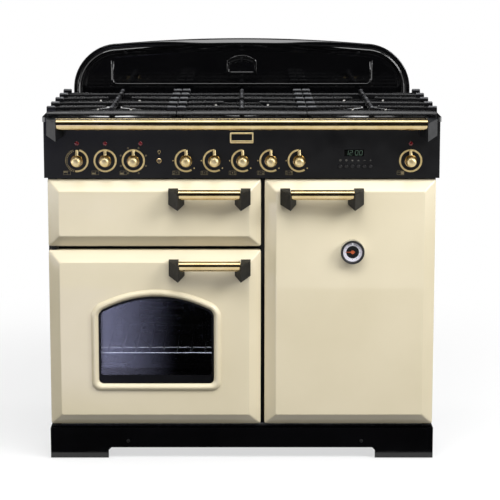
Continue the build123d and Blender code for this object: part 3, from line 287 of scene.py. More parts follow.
# one object from several lofts: points in mm at their place, smooth below the sharp angle, riding on a body
def makePiece(name, parts, finish, body, stands=(), sharp=32.0):
    offsets = np.cumsum([0] + [len(points) for points, faces in parts])
    points = np.vstack([points for points, faces in parts]) * mm
    faces = [(np.array(face) + offset).tolist() for (_, group), offset in zip(parts, offsets) for face in group]
    mesh = bpy.data.meshes.new(name)
    mesh.from_pydata(points.tolist(), [], faces)
    work = bmesh.new()
    work.from_mesh(mesh)
    bmesh.ops.remove_doubles(work, verts=work.verts, dist=0.001 * mm)
    bmesh.ops.recalc_face_normals(work, faces=work.faces)
    work.to_mesh(mesh)
    work.free()
    mesh.shade_smooth()
    mesh.set_sharp_from_angle(angle=math.radians(sharp))
    mesh.materials.append(finishes[finish])
    item = bpy.data.objects.new(name, mesh)
    scene.collection.objects.link(item)
    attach(item, body)
    if stands:
        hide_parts(*stands)


# a profile of (radius, place on the axis) turned full circle: sines and cosines times the radius, and the places
def turnedGrid(profile, around):
    profile = np.array(profile, float)
    angle = np.linspace(0, 2 * np.pi, around, endpoint=False)
    radius, along = profile[:, 0:1], profile[:, 1:2]
    return radius * np.sin(angle), radius * np.cos(angle), np.broadcast_to(along, (len(profile), around))


# a profile of (radius, y) turned about an axis along y through (x, z)
def turnedRows(profile, x, z, around=48):
    sine, cosine, depth = turnedGrid(profile, around)
    return np.stack([x + sine, depth, z + cosine], axis=-1)


# a profile of (radius, z) turned about an upright axis through (x, y)
def uprightRows(profile, x, y, around=48):
    sine, cosine, level = turnedGrid(profile, around)
    return np.stack([x + cosine, y + sine, level], axis=-1)


# a profile of (radius, x) turned about an axis along x through (y, z)
def barRows(profile, y, z, around=40):
    sine, cosine, along = turnedGrid(profile, around)
    return np.stack([along, y + sine, z + cosine], axis=-1)


# a ring of four rounded corners and four sides, anticlockwise from the lower left corner: each corner is an arc of
# `bend` points about the centre that lies a radius from both sides, and each side has `side` inner points
def ringLoop(corners, radius, side=10, bend=6):
    corners = np.array(corners, float)
    arcs = []
    for index in range(4):
        corner, before, after = corners[index], corners[index - 1], corners[(index + 1) % 4]
        inward = (before - corner) / np.linalg.norm(before - corner)
        outward = (after - corner) / np.linalg.norm(after - corner)
        half = np.arccos(np.clip(inward @ outward, -1, 1)) / 2
        reach = radius / np.tan(half)
        centre = corner + (inward + outward) / np.linalg.norm(inward + outward) * radius / np.sin(half)
        start, end = corner + inward * reach - centre, corner + outward * reach - centre
        turn = np.linspace(0, 1, bend)[:, None]
        spread = np.arccos(np.clip(start @ end / radius ** 2, -1, 1))
        arcs.append(centre + (np.sin((1 - turn) * spread) * start + np.sin(turn * spread) * end) / np.sin(spread))
    loop = []
    share = np.linspace(0, 1, side + 2)[1:-1, None]
    for arc, following in zip(arcs, arcs[1:] + arcs[:1]):
        loop += [arc, arc[-1] * (1 - share) + following[0] * share]
    return np.vstack(loop)


# a rectangle (x0, x1, z0, z1) shrunk by an inset, as a rounded ring
def boxLoop(box, inset, radius):
    x0, x1, z0, z1 = box[0] + inset, box[1] - inset, box[2] + inset, box[3] - inset
    return ringLoop([(x0, z0), (x1, z0), (x1, z1), (x0, z1)], radius)


# a flat ring lifted to depth y, one value or one for each point
def atDepth(loop, y):
    return np.stack([loop[:, 0], np.full(len(loop), y), loop[:, 1]], axis=-1)


windowSize = {"x": -216.0, "width": 291.0, "foot": 200.0, "spring": 186.0, "rise": 39.0, "corner": 12.0,
              "bead": 18.0, "beadFoot": 6.0, "proud": 8.0}


# the arched window: a rounded ring whose top side is bowed up by the rise of the arch
def windowLoop(grow):
    w = windowSize
    half, foot = w["width"] / 2 + grow, w["foot"] - grow
    spring, crown = w["foot"] + w["spring"] + grow * 0.6, w["foot"] + w["spring"] + w["rise"] + grow
    radius = w["corner"] + grow * 0.5
    loop = ringLoop([(-half, foot), (half, foot), (half, spring), (-half, spring)], radius)
    bow = (crown - spring) * (1 - (loop[:, 0] / half) ** 2)
    upper = np.clip((loop[:, 1] - (spring - radius)) / radius, 0, 1)
    return loop + np.stack([np.full(len(loop), w["x"]), bow * upper], axis=-1)


doorSize = {"front": -275.0, "back": -235.0, "edge": 18.0, "bevel": 29.0, "corner": 5.0, "inner": 4.0, "wall": 2.0,
            "soft": 2.2, "panelInset": 14.0, "panelCorner": 6.0}
doors = {"grill_door": (-486.0, 48.0, 550.0, 720.0), "oven_door": (-486.0, 48.0, 90.0, 540.0),
         "tall_door": (57.5, 486.0, 90.0, 720.0)}


# a pressed door skin: side wall, rounded edge, sloping border, soft crease, flat face; the oven door goes on into its
# window bead, a half round with a small fillet at its foot
def doorRows(box, window):
    d = doorSize
    lip, slope = d["back"] - d["edge"], (d["edge"] + d["front"] - d["back"]) / d["bevel"]
    tilt, soft = math.atan2(-slope, 1.0), d["soft"]

    # the door's outline, shrunk by an inset, at depth y
    def ring(inset, y, radius=d["inner"]):
        return atDepth(boxLoop(box, inset, radius), y)

    rows = [ring(d["bevel"] + 1, d["front"] + d["wall"]), ring(d["wall"], lip + 1), ring(d["wall"], d["back"]),
            ring(0, d["back"], d["corner"])]
    for angle in np.linspace(0, 1, 6) * (math.pi / 2 - tilt):          # edge: from the side wall round to the slope
        inset, depth = soft * (1 - math.cos(angle)), lip + soft * 0.6 - soft * math.sin(angle)
        rows.append(ring(inset, depth, d["corner"]))
    for share, rise in ((0.3, 0.3), (0.65, 0.65), (0.93, 0.93), (0.96, 0.965), (1.0, 0.99), (1.04, 0.999), (1.1, 1.0)):
        rows.append(ring(inset + (d["bevel"] - inset) * share, depth + (d["front"] - depth) * rise))
    if window:
        bead, proud = windowSize["bead"], windowSize["proud"]
        rows.append(ring(d["bevel"] + d["panelInset"], d["front"], d["panelCorner"]))
        rows.append(atDepth(windowLoop(bead + windowSize["beadFoot"]), d["front"]))
        for share in np.linspace(0, 1, 13):
            lift = math.sin(math.pi * share) ** 0.75
            rows.append(atDepth(windowLoop(bead * (1 - share)), d["front"] - proud * lift))
        rows.append(atDepth(windowLoop(0), d["front"] + d["wall"]))
    return np.array(rows)


for body, box in doors.items():
    window = body == "oven_door"
    skin = loft(doorRows(box, window), "joined" if window else "capped")
    makePiece(body + "_skin", [skin], "cream_enamel", body, stands=[body + "_panel"], sharp=40.0)
print("door skins:", len(doors))

# black frit printed on the outer pane: a narrow border, deeper at the foot of the window
frit = {"side": 6.0, "foot": 22.0, "blend": 34.0, "under": 5.0, "thick": 0.3}
outer, inner = windowLoop(frit["under"]), windowLoop(-frit["side"])
low = windowSize["foot"] + frit["side"]
inner[:, 1] += (frit["foot"] - frit["side"]) * np.clip((low + frit["blend"] - inner[:, 1]) / frit["blend"], 0, 1)
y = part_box("oven_door_glass")[0][1] / mm - frit["thick"]
rows = [atDepth(outer, y), atDepth(inner, y), atDepth(inner, y + frit["thick"]), atDepth(outer, y + frit["thick"])]
makePiece("windowFrit", [loft(np.array(rows), "joined")], "frit", "oven_door")

# brass bars: a tube with softly turned ends, seated in its brackets
barSize = {"axis": -311.0, "radius": 12.5, "soft": 0.6, "hole": 0.1,
           "ends": {"grill_door": (-157.5, -3.5), "oven_door": (-157.5, -3.5), "tall_door": (121.5, 278.5)},
           "level": {"grill_door": 688.5, "oven_door": 508.5, "tall_door": 688.5}}
for body, (x0, x1) in barSize["ends"].items():
    radius, soft, hole = barSize["radius"], barSize["soft"], barSize["hole"]
    profile = [(hole, x0), (radius - soft, x0), (radius, x0 + soft),
               (radius, x1 - soft), (radius - soft, x1), (hole, x1)]
    bar = loft(barRows(profile, barSize["axis"], barSize["level"][body]))
    makePiece(body + "_bar", [bar], "brass", body, stands=[body.split("_")[0] + "_handle_bar"])

# handrail: a wider tube with square ends
railSize = {"axis": -299.0, "level": 862.5, "radius": 14.5, "end": 457.05, "hole": 0.1, "around": 64}
end, radius, hole = railSize["end"], railSize["radius"], railSize["hole"]
rail = barRows([(hole, -end), (radius, -end), (radius, end), (hole, end)], railSize["axis"], railSize["level"],
               railSize["around"])
makePiece("handrailTube", [loft(rail)], "brass", "cabinet", stands=["handrail_bar"])
print("brass bars set")

# knobs: a polished collar, which is a thin rim round a deep groove with a neck, and a satin cap with a dome, each
# turned from a profile of (radius, distance from the panel); a pointer fin slopes down from the collar at twelve o'clock
knobSize = {"front": -261.0, "level": 767.5, "standoff": 0.6, "around": 56, "collar": 15.5, "rim": 1.6,
            "collarDepth": 7.6, "groove": 1.6, "neck": 8.6, "cap": 11.8, "capBack": 17.5, "depth": 37.0, "dome": 7.5,
            "finWidth": 6.5, "finReach": 27.0, "finRoot": 9.0, "finTip": 2.6, "gasFrom": -139.0, "gasPitch": 70.5}
knobPlaces = {"grill_knob": -411.0, "oven_temperature_knob": -340.7, "oven_function_knob": -270.4,
              "tall_oven_knob": 421.0}
k = knobSize
knobPlaces.update({"gas_knob_%d" % (n + 1): k["gasFrom"] + k["gasPitch"] * n for n in range(5)})
inner = k["collar"] - k["rim"]
collarProfile = [
    (3.0, k["standoff"]), (k["collar"] - 0.4, k["standoff"]), (k["collar"], k["standoff"] + 0.4),
    (k["collar"], k["collarDepth"] - 0.7), (k["collar"] - 0.3, k["collarDepth"] - 0.15),
    (k["collar"] - 0.8, k["collarDepth"]), (inner + 0.3, k["collarDepth"] - 0.2), (inner, k["collarDepth"] - 0.8),
    (inner - 0.2, k["groove"] + 0.5), (inner - 0.7, k["groove"]), (k["neck"] + 0.6, k["groove"]),
    (k["neck"], k["groove"] + 0.6), (k["neck"], k["capBack"] - 0.8)]
capProfile = [(k["neck"], k["capBack"] - 0.8), (k["neck"] + 0.5, k["capBack"]), (k["cap"] - 0.6, k["capBack"]),
              (k["cap"], k["capBack"] + 0.7)]
for angle in np.linspace(0, math.pi / 2, 10)[:-1]:                     # dome: fuller at its edge than an ellipse
    full = 0.25 * math.cos(angle) + 0.75 * math.cos(angle) ** 0.7
    capProfile.append((k["cap"] * full, k["depth"] - k["dome"] * (1 - math.sin(angle))))
capProfile.append((0.05, k["depth"]))
for body, x in knobPlaces.items():
    collar, cap = (loft(turnedRows([(radius, k["front"] - depth) for radius, depth in profile], x, k["level"],
                                   k["around"])) for profile in (collarProfile, capProfile))
    root, tip = k["level"] + inner - 0.4, k["level"] + k["finReach"]
    finBox = (x - k["finWidth"] / 2, x + k["finWidth"] / 2, root, tip)
    foot, crest = boxLoop(finBox, 0, 1.0), boxLoop(finBox, 0.7, 0.6)
    footDepth, crestDepth = (k["finRoot"] + (k["finTip"] - k["finRoot"]) * (loop[:, 1] - root) / (tip - root)
                             for loop in (foot, crest))
    fin = [atDepth(foot, k["front"] - k["standoff"]), atDepth(foot, k["front"] - footDepth + 0.6),
           atDepth(crest, k["front"] - crestDepth)]
    makePiece(body + "_turned", [cap, loft(np.array(fin))], "satin_brass", body, stands=[body], sharp=38.0)
    makePiece(body + "_collar", [collar], "brass", body, sharp=38.0)
print("knobs:", len(knobPlaces))


# printed marks are closed thin shells; their layer is (y, thickness), and they stand proud of y by that thickness
# an arc band between two radii: start and end in degrees clockwise from twelve o'clock
def arcBand(x, z, inner, outer, start, end, layer, steps=48):
    angle = np.radians(np.linspace(start, end, steps))
    y, thick = layer
    corners = [(inner, y), (inner, y - thick), (outer, y - thick), (outer, y)]
    rows = np.stack([np.stack([x + radius * np.sin(angle), np.full(steps, depth), z + radius * np.cos(angle)], axis=-1)
                     for radius, depth in corners], axis=1)
    if end - start == 360:
        return loft(rows[:-1], "joined")
    return loft(rows)


# a flat shape from its outline: walls and a closed face
def flatShape(outline, layer):
    outline = np.array(outline, float)
    y, thick = layer
    return loft(np.array([atDepth(outline, y), atDepth(outline, y - thick)]))


# a bar between two points with square ends
def strokeShape(start, end, width, layer):
    start, end = np.array(start, float), np.array(end, float)
    along = (end - start) / np.linalg.norm(end - start)
    side = np.array([-along[1], along[0]]) * width / 2
    return flatShape([start - side, end - side, end + side, start + side], layer)


# a dot: a regular outline round its middle
def dotShape(x, z, radius, layer, around=14):
    angle = np.linspace(0, 2 * np.pi, around, endpoint=False)
    return flatShape(np.stack([x + radius * np.cos(angle), z + radius * np.sin(angle)], axis=-1), layer)


# screen-printed gold ink: a satin yellow film with tiny pinholes
makeFinish("gold_print", {"name": "goldScreenPrint", "sockets": {"Metallic": 0.3}, "tones": ("BEA872", "D2BD88", 5.0),
                          "rough": (0.3, 0.45, 6.0)})
# thin gold screen print for the small signs: fine lines let the panel's black through
makeFinish("sign_print", {"name": "thinGoldScreenPrint", "sockets": {"Roughness": 0.5},
                          "tones": ("6C6146", "7E7254", 4.0)})
# grey screen print for the small timer signs
makeFinish("grey_print", {"name": "greyScreenPrint", "sockets": {"Roughness": 0.5}, "tones": ("55534E", "66645E", 4.0)})

# knob prints: a ring round each knob, and a framed sign at its lower left; angles in degrees clockwise from the top
panelLayer = (-261.0, 0.35)
ringPrint = {"outer": 28.8, "inner": 24.4, "graded": (14, 190), "dashFrom": 196, "dashStep": 10, "dash": 6, "dashes": 15,
             "dashWidth": 0.9, "gas": (-210, 0), "dotAngle": 133, "dotReach": 27.5, "dot": 1.6, "tick": (33.6, 31.0, 2.0),
             "signs": 8, "signReach": 34, "signRing": (1.2, 2.2)}
signPrint = {"across": -25.0, "down": -30.5, "half": 9, "rise": 5, "line": 0.55, "corner": 1.0,
             "divider": 0.5, "dividerX": 1.2, "dividerHalf": 4.6, "shelfZ": 0.4, "shelfFrom": -8.6, "fillGap": 0.8,
             "burners": [(-5.4, -2.2), (-5.4, 2.2), (0, 0), (5.4, -2.2), (5.4, 2.2)], "burner": 1.5, "burnerHole": 1.0,
             "ovens": {"grill_knob": (-8, 0.5, 0.8, 4), "oven_temperature_knob": (-8, 0.5, -4, 0),
                       "oven_function_knob": (-8, 0.5, -4, 0), "tall_oven_knob": (1.8, 8, -4, 4)}}
p, sign = ringPrint, signPrint
ringMarks, signMarks = [], []
for body, x in knobPlaces.items():
    z, gas = knobSize["level"], body.startswith("gas")
    if body == "grill_knob":                                           # full on the right, then two thin dashed lines
        ringMarks.append(arcBand(x, z, p["inner"], p["outer"], *p["graded"], panelLayer))
        for start in p["dashFrom"] + p["dashStep"] * np.arange(p["dashes"]):
            ringMarks += [arcBand(x, z, radius, radius + p["dashWidth"], start, start + p["dash"], panelLayer, 5)
                          for radius in (p["inner"], p["outer"] - p["dashWidth"])]
    elif gas:                                                          # open from twelve to five o'clock
        turn = math.radians(p["dotAngle"])
        far, near, width = p["tick"]
        ringMarks.append(arcBand(x, z, p["inner"], p["outer"], *p["gas"], panelLayer))
        ringMarks.append(dotShape(x + p["dotReach"] * math.sin(turn), z + p["dotReach"] * math.cos(turn), p["dot"],
                                  panelLayer))
        ringMarks.append(strokeShape((x - far, z), (x - near, z), width, panelLayer))
    else:
        ringMarks.append(arcBand(x, z, p["inner"], p["outer"], 0, 360, panelLayer, 73))
    if body == "oven_function_knob":                                   # small plain signs outside the ring
        for turn in np.radians(360 / p["signs"] * (np.arange(p["signs"]) + 0.5)):
            signMarks.append(arcBand(x + p["signReach"] * math.sin(turn), z + p["signReach"] * math.cos(turn),
                                     *p["signRing"], 0, 360, panelLayer, 17))
    sx, sz = x + sign["across"], z + sign["down"]
    frameBox = (sx - sign["half"], sx + sign["half"], sz - sign["rise"], sz + sign["rise"])
    outer, inner = (boxLoop(frameBox, inset, sign["corner"]) for inset in (0, sign["line"]))
    y, top = panelLayer[0], panelLayer[0] - panelLayer[1]
    signMarks.append(loft(np.array([atDepth(outer, y), atDepth(outer, top), atDepth(inner, top), atDepth(inner, y)]),
                          "joined"))
    if gas:                                                            # burner plan: five rings, the knob's own filled
        for number, (dx, dz) in enumerate(sign["burners"], 1):
            if number == int(body[-1]):
                signMarks.append(dotShape(sx + dx, sz + dz, sign["burner"], panelLayer, 12))
            else:
                signMarks.append(arcBand(sx + dx, sz + dz, sign["burnerHole"], sign["burner"], 0, 360, panelLayer, 13))
    else:                                                              # oven plan: the oven that the knob serves is filled
        x0, x1, z0, z1 = sign["ovens"][body]
        level, shelfZ = sz + (z0 + z1) / 2, sz + sign["shelfZ"]
        divideX, tall = sx + sign["dividerX"], sign["dividerHalf"]
        signMarks += [strokeShape((divideX, sz - tall), (divideX, sz + tall), sign["divider"], panelLayer),
                      strokeShape((sx + sign["shelfFrom"], shelfZ), (divideX, shelfZ), sign["divider"], panelLayer),
                      strokeShape((sx + x0, level), (sx + x1, level), z1 - z0 - sign["fillGap"], panelLayer)]
makePiece("knobRingPrints", ringMarks, "gold_print", "cabinet", sharp=30.0)
makePiece("knobSignPrints", signMarks, "sign_print", "cabinet", sharp=30.0)
print("panel prints: %d rings, %d signs" % (len(ringMarks), len(signMarks)))

# splashback: a pressed sheet with a raised rim, a swage along its foot and up both sides, and a bare plaque
splashBox = [np.array(corner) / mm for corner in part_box("splashback")]
splashSize = {"corner": 124.0, "rise": 15.0, "rim": 17.0, "proud": 8.0, "rollEnd": 320.0, "rollBlend": 240.0,
              "rollAbove": 950.0, "swageInset": 107.5, "swageWidth": 8.0, "swageProud": 4.0, "swageFoot": 908.0,
              "swageTop": 978.0, "swageCorner": 13.0}
s = splashSize


# its outline: straight sides, round shoulders and a shallow arch; the foot stays level while the rest shrinks by the inset
def splashLoop(inset, y):
    half, foot, crown = splashBox[1][0] - inset, splashBox[0][2], splashBox[1][2] - inset
    radius, shoulder = s["corner"] - inset, crown - s["rise"]
    knee, turn = shoulder - radius, np.linspace(0, np.pi / 2, 16)
    archX = np.linspace(half - radius, radius - half, 42)[1:-1]
    bow = ((half - radius) ** 2 + s["rise"] ** 2) / (2 * s["rise"])
    archZ = crown - bow + np.sqrt(bow ** 2 - archX ** 2)
    x = np.concatenate([np.linspace(-half, half, 14), half - radius + radius * np.cos(turn), archX,
                        radius - half - radius * np.sin(turn)])
    z = np.concatenate([np.full(14, foot), knee + radius * np.sin(turn), archZ, knee + radius * np.cos(turn)])
    return np.stack([x, np.full(len(x), y), z], axis=-1)


# rim profiles of (inset, depth behind the front): a crisp edge, a groove and a lip that faces outwards; along the middle
# of the top, a face that leans back by a third of a right angle and rolls over into the sheet
splashFront, thick = splashBox[0][1], splashBox[1][1] - splashBox[0][1]
rim, proud, roll = s["rim"], s["proud"], 13.5
crisp = [(0.0, thick), (0.0, 1.5), (0.3, 0.8), (0.9, 0.3), (1.8, 0.05), (3.0, 0.0), (6.0, 0.0), (9.0, 0.0), (10.5, 0.9),
         (12.0, 2.0), (13.4, 2.6), (14.4, 2.4), (15.4, 1.65), (16.4, 0.85), (17.3, 0.35), (18.4, 0.5), (19.6, 2.2),
         (20.6, proud - 1.4), (22.2, proud), (40.0, proud)]
rolled = [(0.0, thick), (0.0, 9.0), (0.6, 8.0), (3.2, 6.2), (6.0, 4.3), (8.8, 2.5), (11.4, 0.9), (roll, 0.0)]
rolled += [(roll + (rim - roll) * math.sin(a), proud * (1 - math.cos(a))) for a in np.linspace(0.2, 1.35, 9)]
rolled += [(rim + 0.7, proud - 0.7), (rim + 2.4, proud), (40.0, proud)]
crispRows, rolledRows = (np.array([splashLoop(inset, splashFront + depth) for inset, depth in profile])
                         for profile in (crisp, rolled))
share = np.clip((s["rollEnd"] - np.abs(crispRows[..., 0:1])) / s["rollBlend"], 0, 1)
share = share * (crispRows[..., 2:3] > s["rollAbove"])
share = 3 * share ** 2 - 2 * share ** 3
board = loft(crispRows * (1 - share) + rolledRows * share)


# a ridge: a half-round section carried along a path in the panel's face, thinning out at both ends
def ridge(path, width, proud, y):
    along = np.gradient(path, axis=0)
    along /= np.linalg.norm(along, axis=1, keepdims=True)
    side = np.stack([-along[:, 1], along[:, 0]], axis=-1)
    across = np.linspace(-0.5, 0.5, 9)
    fade = np.minimum(1, np.minimum(np.arange(len(path)), np.arange(len(path))[::-1]) / 6)[:, None]
    flat = path[:, None, :] + side[:, None, :] * (across * width)[None, :, None]
    lift = proud * np.cos(across * np.pi)[None, :] * (0.02 + 0.98 * fade)
    return np.stack([flat[..., 0], y - lift, flat[..., 1]], axis=-1)


half, turn = splashBox[1][0] - s["swageInset"], np.linspace(0, np.pi / 2, 10)
corner, foot, face = s["swageCorner"], s["swageFoot"], splashFront + s["proud"]
left = np.concatenate([np.stack([np.full(14, -half), np.linspace(s["swageTop"], foot + corner, 14)], axis=-1),
                       np.stack([-half + corner - corner * np.cos(turn), foot + corner - corner * np.sin(turn)],
                                axis=-1)[1:]])
footRun = np.stack([np.linspace(-half + corner, half - corner, 30)[1:-1], np.full(28, foot)], axis=-1)
swage = loft(ridge(np.concatenate([left, footRun, left[::-1] * [-1, 1]]), s["swageWidth"], s["swageProud"], face))
makePiece("splashbackPressing", [board, swage], "splash_enamel", "cabinet", stands=["splashback"],
          sharp=50.0)

plaque = {"half": 41.0, "foot": 936.0, "spring": 972.0, "crown": 988.0,
          "edge": ((0, 0), (0.2, 1.6), (1.2, 2.4), (4.0, 2.6), (5.0, 2.0), (6.0, 1.2))}


# the plaque's outline: a level foot under a parabola
def plaqueLoop(inset, y):
    half = plaque["half"] - inset
    x = np.concatenate([np.linspace(-half, half, 12), np.linspace(half, -half, 24)])
    arch = plaque["spring"] - inset + (plaque["crown"] - plaque["spring"]) * (1 - (x[12:] / half) ** 2)
    return np.stack([x, np.full(36, y), np.concatenate([np.full(12, plaque["foot"] + inset), arch])], axis=-1)


rows = np.array([plaqueLoop(inset, face - lift) for inset, lift in plaque["edge"]])
makePiece("bareSplashPlaque", [loft(rows)], "splash_enamel", "cabinet", sharp=45.0)
print("splashback set")

# pan supports: each has five rows of bars or fingers with a raised block at either end, a spine, side rails and feet
grate = {"pitch": 325.0, "half": 161.5, "rows": (-242.5, -127.25, -12.0, 103.25, 218.5), "width": 13.0, "spine": 13.0,
         "bottom": 879.0, "bar": 892.0, "top": 902.5, "rail": 885.5, "block": 22.0, "setback": 1.6, "reach": 16.0,
         "tip": 888.0, "floor": 870.0, "foot": 6.0, "upright": 0.4, "blockUpright": 0.78,
         "knuckle": 13.0, "knuckleRamp": 6.0, "dip": 1.8, "endRamp": 3.5, "endDrop": 3.4}
burnerPlan = [(-grate["pitch"], {1: 36.0, 3: 46.0}), (0.0, {2: 62.0}), (grate["pitch"], {1: 36.0, 3: 46.0})]
q = grate


# bar section of (across, rise): an upright foot, then half an ellipse
def bulletSection(width, upright):
    turn = np.linspace(math.pi, 0, 13)
    across = np.concatenate([[-0.9, -0.97], 0.97 * np.cos(turn), [0.97, 0.9]]) * width / 2
    return across, np.concatenate([[0, 0.05], upright + (1 - upright) * np.sin(turn), [0.05, 0]])


# section of the front bar: its face leans back more and more from its foot, from near upright to past half way
def leaningSection():
    lean = np.tan(np.radians(np.interp(np.linspace(0, 1, 10), [0, 0.3, 1], [4, 33, 50])))
    back = np.concatenate([[0], np.cumsum((lean[1:] + lean[:-1]) / 2) * 1.3])
    across = np.concatenate([[6.0, 6.3, 6.3, 5.6], 2.1 - (back[-1] - back[::-1]), [-6.0]])
    return across, np.concatenate([[0, 0.05, 0.92, 0.985], np.linspace(0.97, 0.06, 10), [0]])


# a cast bar: a section carried along stations, given as four lists of x, y, bottom and top or as single values
def castBar(x, y, bottom, top, section):
    stations = np.stack(np.broadcast_arrays(x, y, bottom, top), axis=-1).astype(float)
    across, rise = section
    along = np.gradient(stations[:, :2], axis=0)
    along /= np.linalg.norm(along, axis=1, keepdims=True)
    side = np.stack([-along[:, 1], along[:, 0]], axis=-1)
    flat = stations[:, None, :2] + side[:, None, :] * across[None, :, None]
    level = stations[:, None, 2] + (stations[:, None, 3] - stations[:, None, 2]) * rise[None, :]
    return loft(np.concatenate([flat, level[..., None]], axis=-1))


castings = []
half, block, barSection = q["half"], q["block"], bulletSection(q["width"], q["upright"])
for middle, burners in burnerPlan:
    for row, y in enumerate(q["rows"]):
        if row in burners:                                             # two fingers that thin out towards the burner
            tip = burners[row] - q["reach"]
            place = np.concatenate([tip + np.array([0, 0.5, 1.5, 3.5]), np.linspace(tip + 8, half - 1, 8), [half]])
            thin = np.clip((place - tip) / (half - block - tip), 0, 1)
            bottom = q["tip"] - 1 + (q["bottom"] - q["tip"] + 1) * thin
            top = q["bar"] - np.array([2.4, 1.0, 0.3] + [0] * 8 + [0.8, 1.2])
            castings += [castBar(middle + way * place, y, bottom, top, barSection) for way in (-1, 1)]
        else:
            place = np.array([-half, -half + 0.8, 0, half - 0.8, half])
            castings.append(castBar(middle + place, y, q["bottom"], q["bar"] - np.array([0.8, 0, 0, 0, 0.8]),
                                    barSection if row else leaningSection()))
        front = q["setback"] if row else q["width"] / 2                # the front bar's blocks stand behind its leaning face
        place = half - np.array([0, 0.7, 2.0, block - 2.0, block - 0.7, block])
        top = q["top"] - np.array([2.2, 0.7, 0, 0, 0.7, 2.2])
        for way in (-1, 1):
            castings.append(castBar(middle + way * place, y + front / 2, q["bottom"] + 2, top,
                                    bulletSection(q["width"] - front, q["blockUpright"])))
    stops = [q["rows"][row] + way * (radius - q["reach"]) for row, radius in burners.items() for way in (-1, 1)]
    stops = [q["rows"][0] + 1] + stops + [q["rows"][-1] + q["width"] / 2]
    for y0, y1 in zip(stops[0::2], stops[1::2]):                       # spine, stopping short of the burners
        place = np.linspace(y0, y1, max(9, int((y1 - y0) / 3)))
        near = np.min(np.abs(place[:, None] - np.array(q["rows"])[None, :]), axis=1)
        crest = np.clip((q["knuckle"] - near) / q["knuckleRamp"], 0, 1)                # a knuckle where it crosses each row
        ends = np.clip(np.minimum(place - y0, y1 - place) / q["endRamp"], 0, 1)
        top = q["top"] - q["dip"] * (1 - crest) - q["endDrop"] * (1 - ends)
        castings.append(castBar(middle, place, q["tip"], top, bulletSection(q["spine"], q["upright"])))
    feet = [(middle, q["rows"][0])]
    for way in (-1, 1):
        rail, ends = middle + way * (half - q["width"] / 2), (q["rows"][0], q["rows"][-1])
        feet += [(rail, y) for y in ends]
        castings.append(castBar(rail, ends, q["bottom"], q["rail"], barSection))
    footProfile = [(q["foot"] - 1, q["floor"]), (q["foot"], q["floor"] + 1), (q["foot"], q["bottom"] + 2)]
    castings += [loft(uprightRows(footProfile, x, y, 20)) for x, y in feet]
makePiece("panSupportCastings", castings, "cast_iron", "cabinet", stands=["pan_supports"], sharp=50.0)
print("pan supports: %d bars and feet" % len(castings))

# oven shelves: round chrome wire; racks of three bars under twelve wires, on ladders along the oven walls
shelf = {"radius": 2.5, "soft": 0.8, "bars": (-202.0, -140.0, 134.0), "wires": 12, "posts": (-182.0, 114.0),
         "foot": 176.0, "reach": 9.5, "play": 5.3, "stay": 3.0, "around": 16}
shelfOvens = [{"middle": -219.0, "half": 205.0, "head": 434.0, "racks": (260.0,), "steps": (190.0, 260.0, 330.0)},
              {"middle": 271.75, "half": 150.0, "head": 624.0, "racks": (250.0, 400.0, 540.0),
               "steps": (250.0, 400.0, 540.0)}]


# a straight wire between two ends along its axis, with its ends rounded off
def wireProfile(start, end):
    radius, soft = shelf["radius"], shelf["soft"]
    return [(radius - soft, start), (radius, start + soft), (radius, end - soft), (radius - soft, end)]


wires = []
radius, around, posts = shelf["radius"], shelf["around"], shelf["posts"]
for oven in shelfOvens:
    middle, span = oven["middle"], oven["half"] - shelf["play"]
    for level in oven["racks"]:
        for y in shelf["bars"]:
            wires.append(barRows(wireProfile(middle - span, middle + span), y, level + radius, around))
        for x in middle + np.linspace(radius - span, span - radius, shelf["wires"]):
            wires.append(turnedRows(wireProfile(shelf["bars"][0], shelf["bars"][-1]), x, level + 2 * radius, around))
    for side in (-1, 1):
        wall = middle + side * oven["half"]
        step = wall - side * shelf["reach"]
        for y in posts:
            wires.append(uprightRows(wireProfile(shelf["foot"], oven["head"]), wall - side * radius, y, around))
        for level in oven["steps"]:
            wires.append(turnedRows(wireProfile(*posts), step, level - radius, around))
            for y in (posts[0] + shelf["stay"], posts[1] - shelf["stay"]):
                wires.append(barRows(wireProfile(*sorted((wall, step))), y, level - radius, around))
makePiece("shelfWires", [loft(rows) for rows in wires], "chrome", "cabinet", stands=["oven_shelves"],
          sharp=40.0)
print("shelves: %d wires" % len(wires))

# burners: domed caps, a row of dark blocks under each that paint the shade of the port slots, a ceramic spark electrode
# with its pin on either side, and the pressing that rings them on the hotplate; profiles are (radius, height over the
# hotplate's floor)
flame = {"step": 5.0, "overhang": 3.0, "head": 9.0, "portWidth": 2.2, "portLow": 6.9, "portHigh": 8.5, "portDepth": 1.0,
         "portProud": 0.3, "portsPerRadius": 0.72, "electrode": 6.0, "pressing": {36.0: 108.0, 46.0: 108.0, 62.0: 158.0},
         "slope": 18.0, "rise": 5.4, "flat": 8.0, "innerSlope": 6.0,
         "post": [(3.0, 0), (3.4, 1), (3.4, 11), (3.0, 13.2), (2.0, 14.6), (0.9, 15)],
         "pin": [(0.9, 14), (0.9, 16.6), (0.5, 17)],
         "capDome": [(0.9, 3.85), (0.75, 4.45), (0.6, 4.8), (0.4, 4.96), (0.2, 5.0)]}
f, floorLevel = flame, grate["floor"]


# a turned upright piece on the hotplate's floor
def onFloor(profile, x, y, around, ends="capped"):
    return loft(uprightRows([(radius, floorLevel + level) for radius, level in profile], x, y, around), ends)


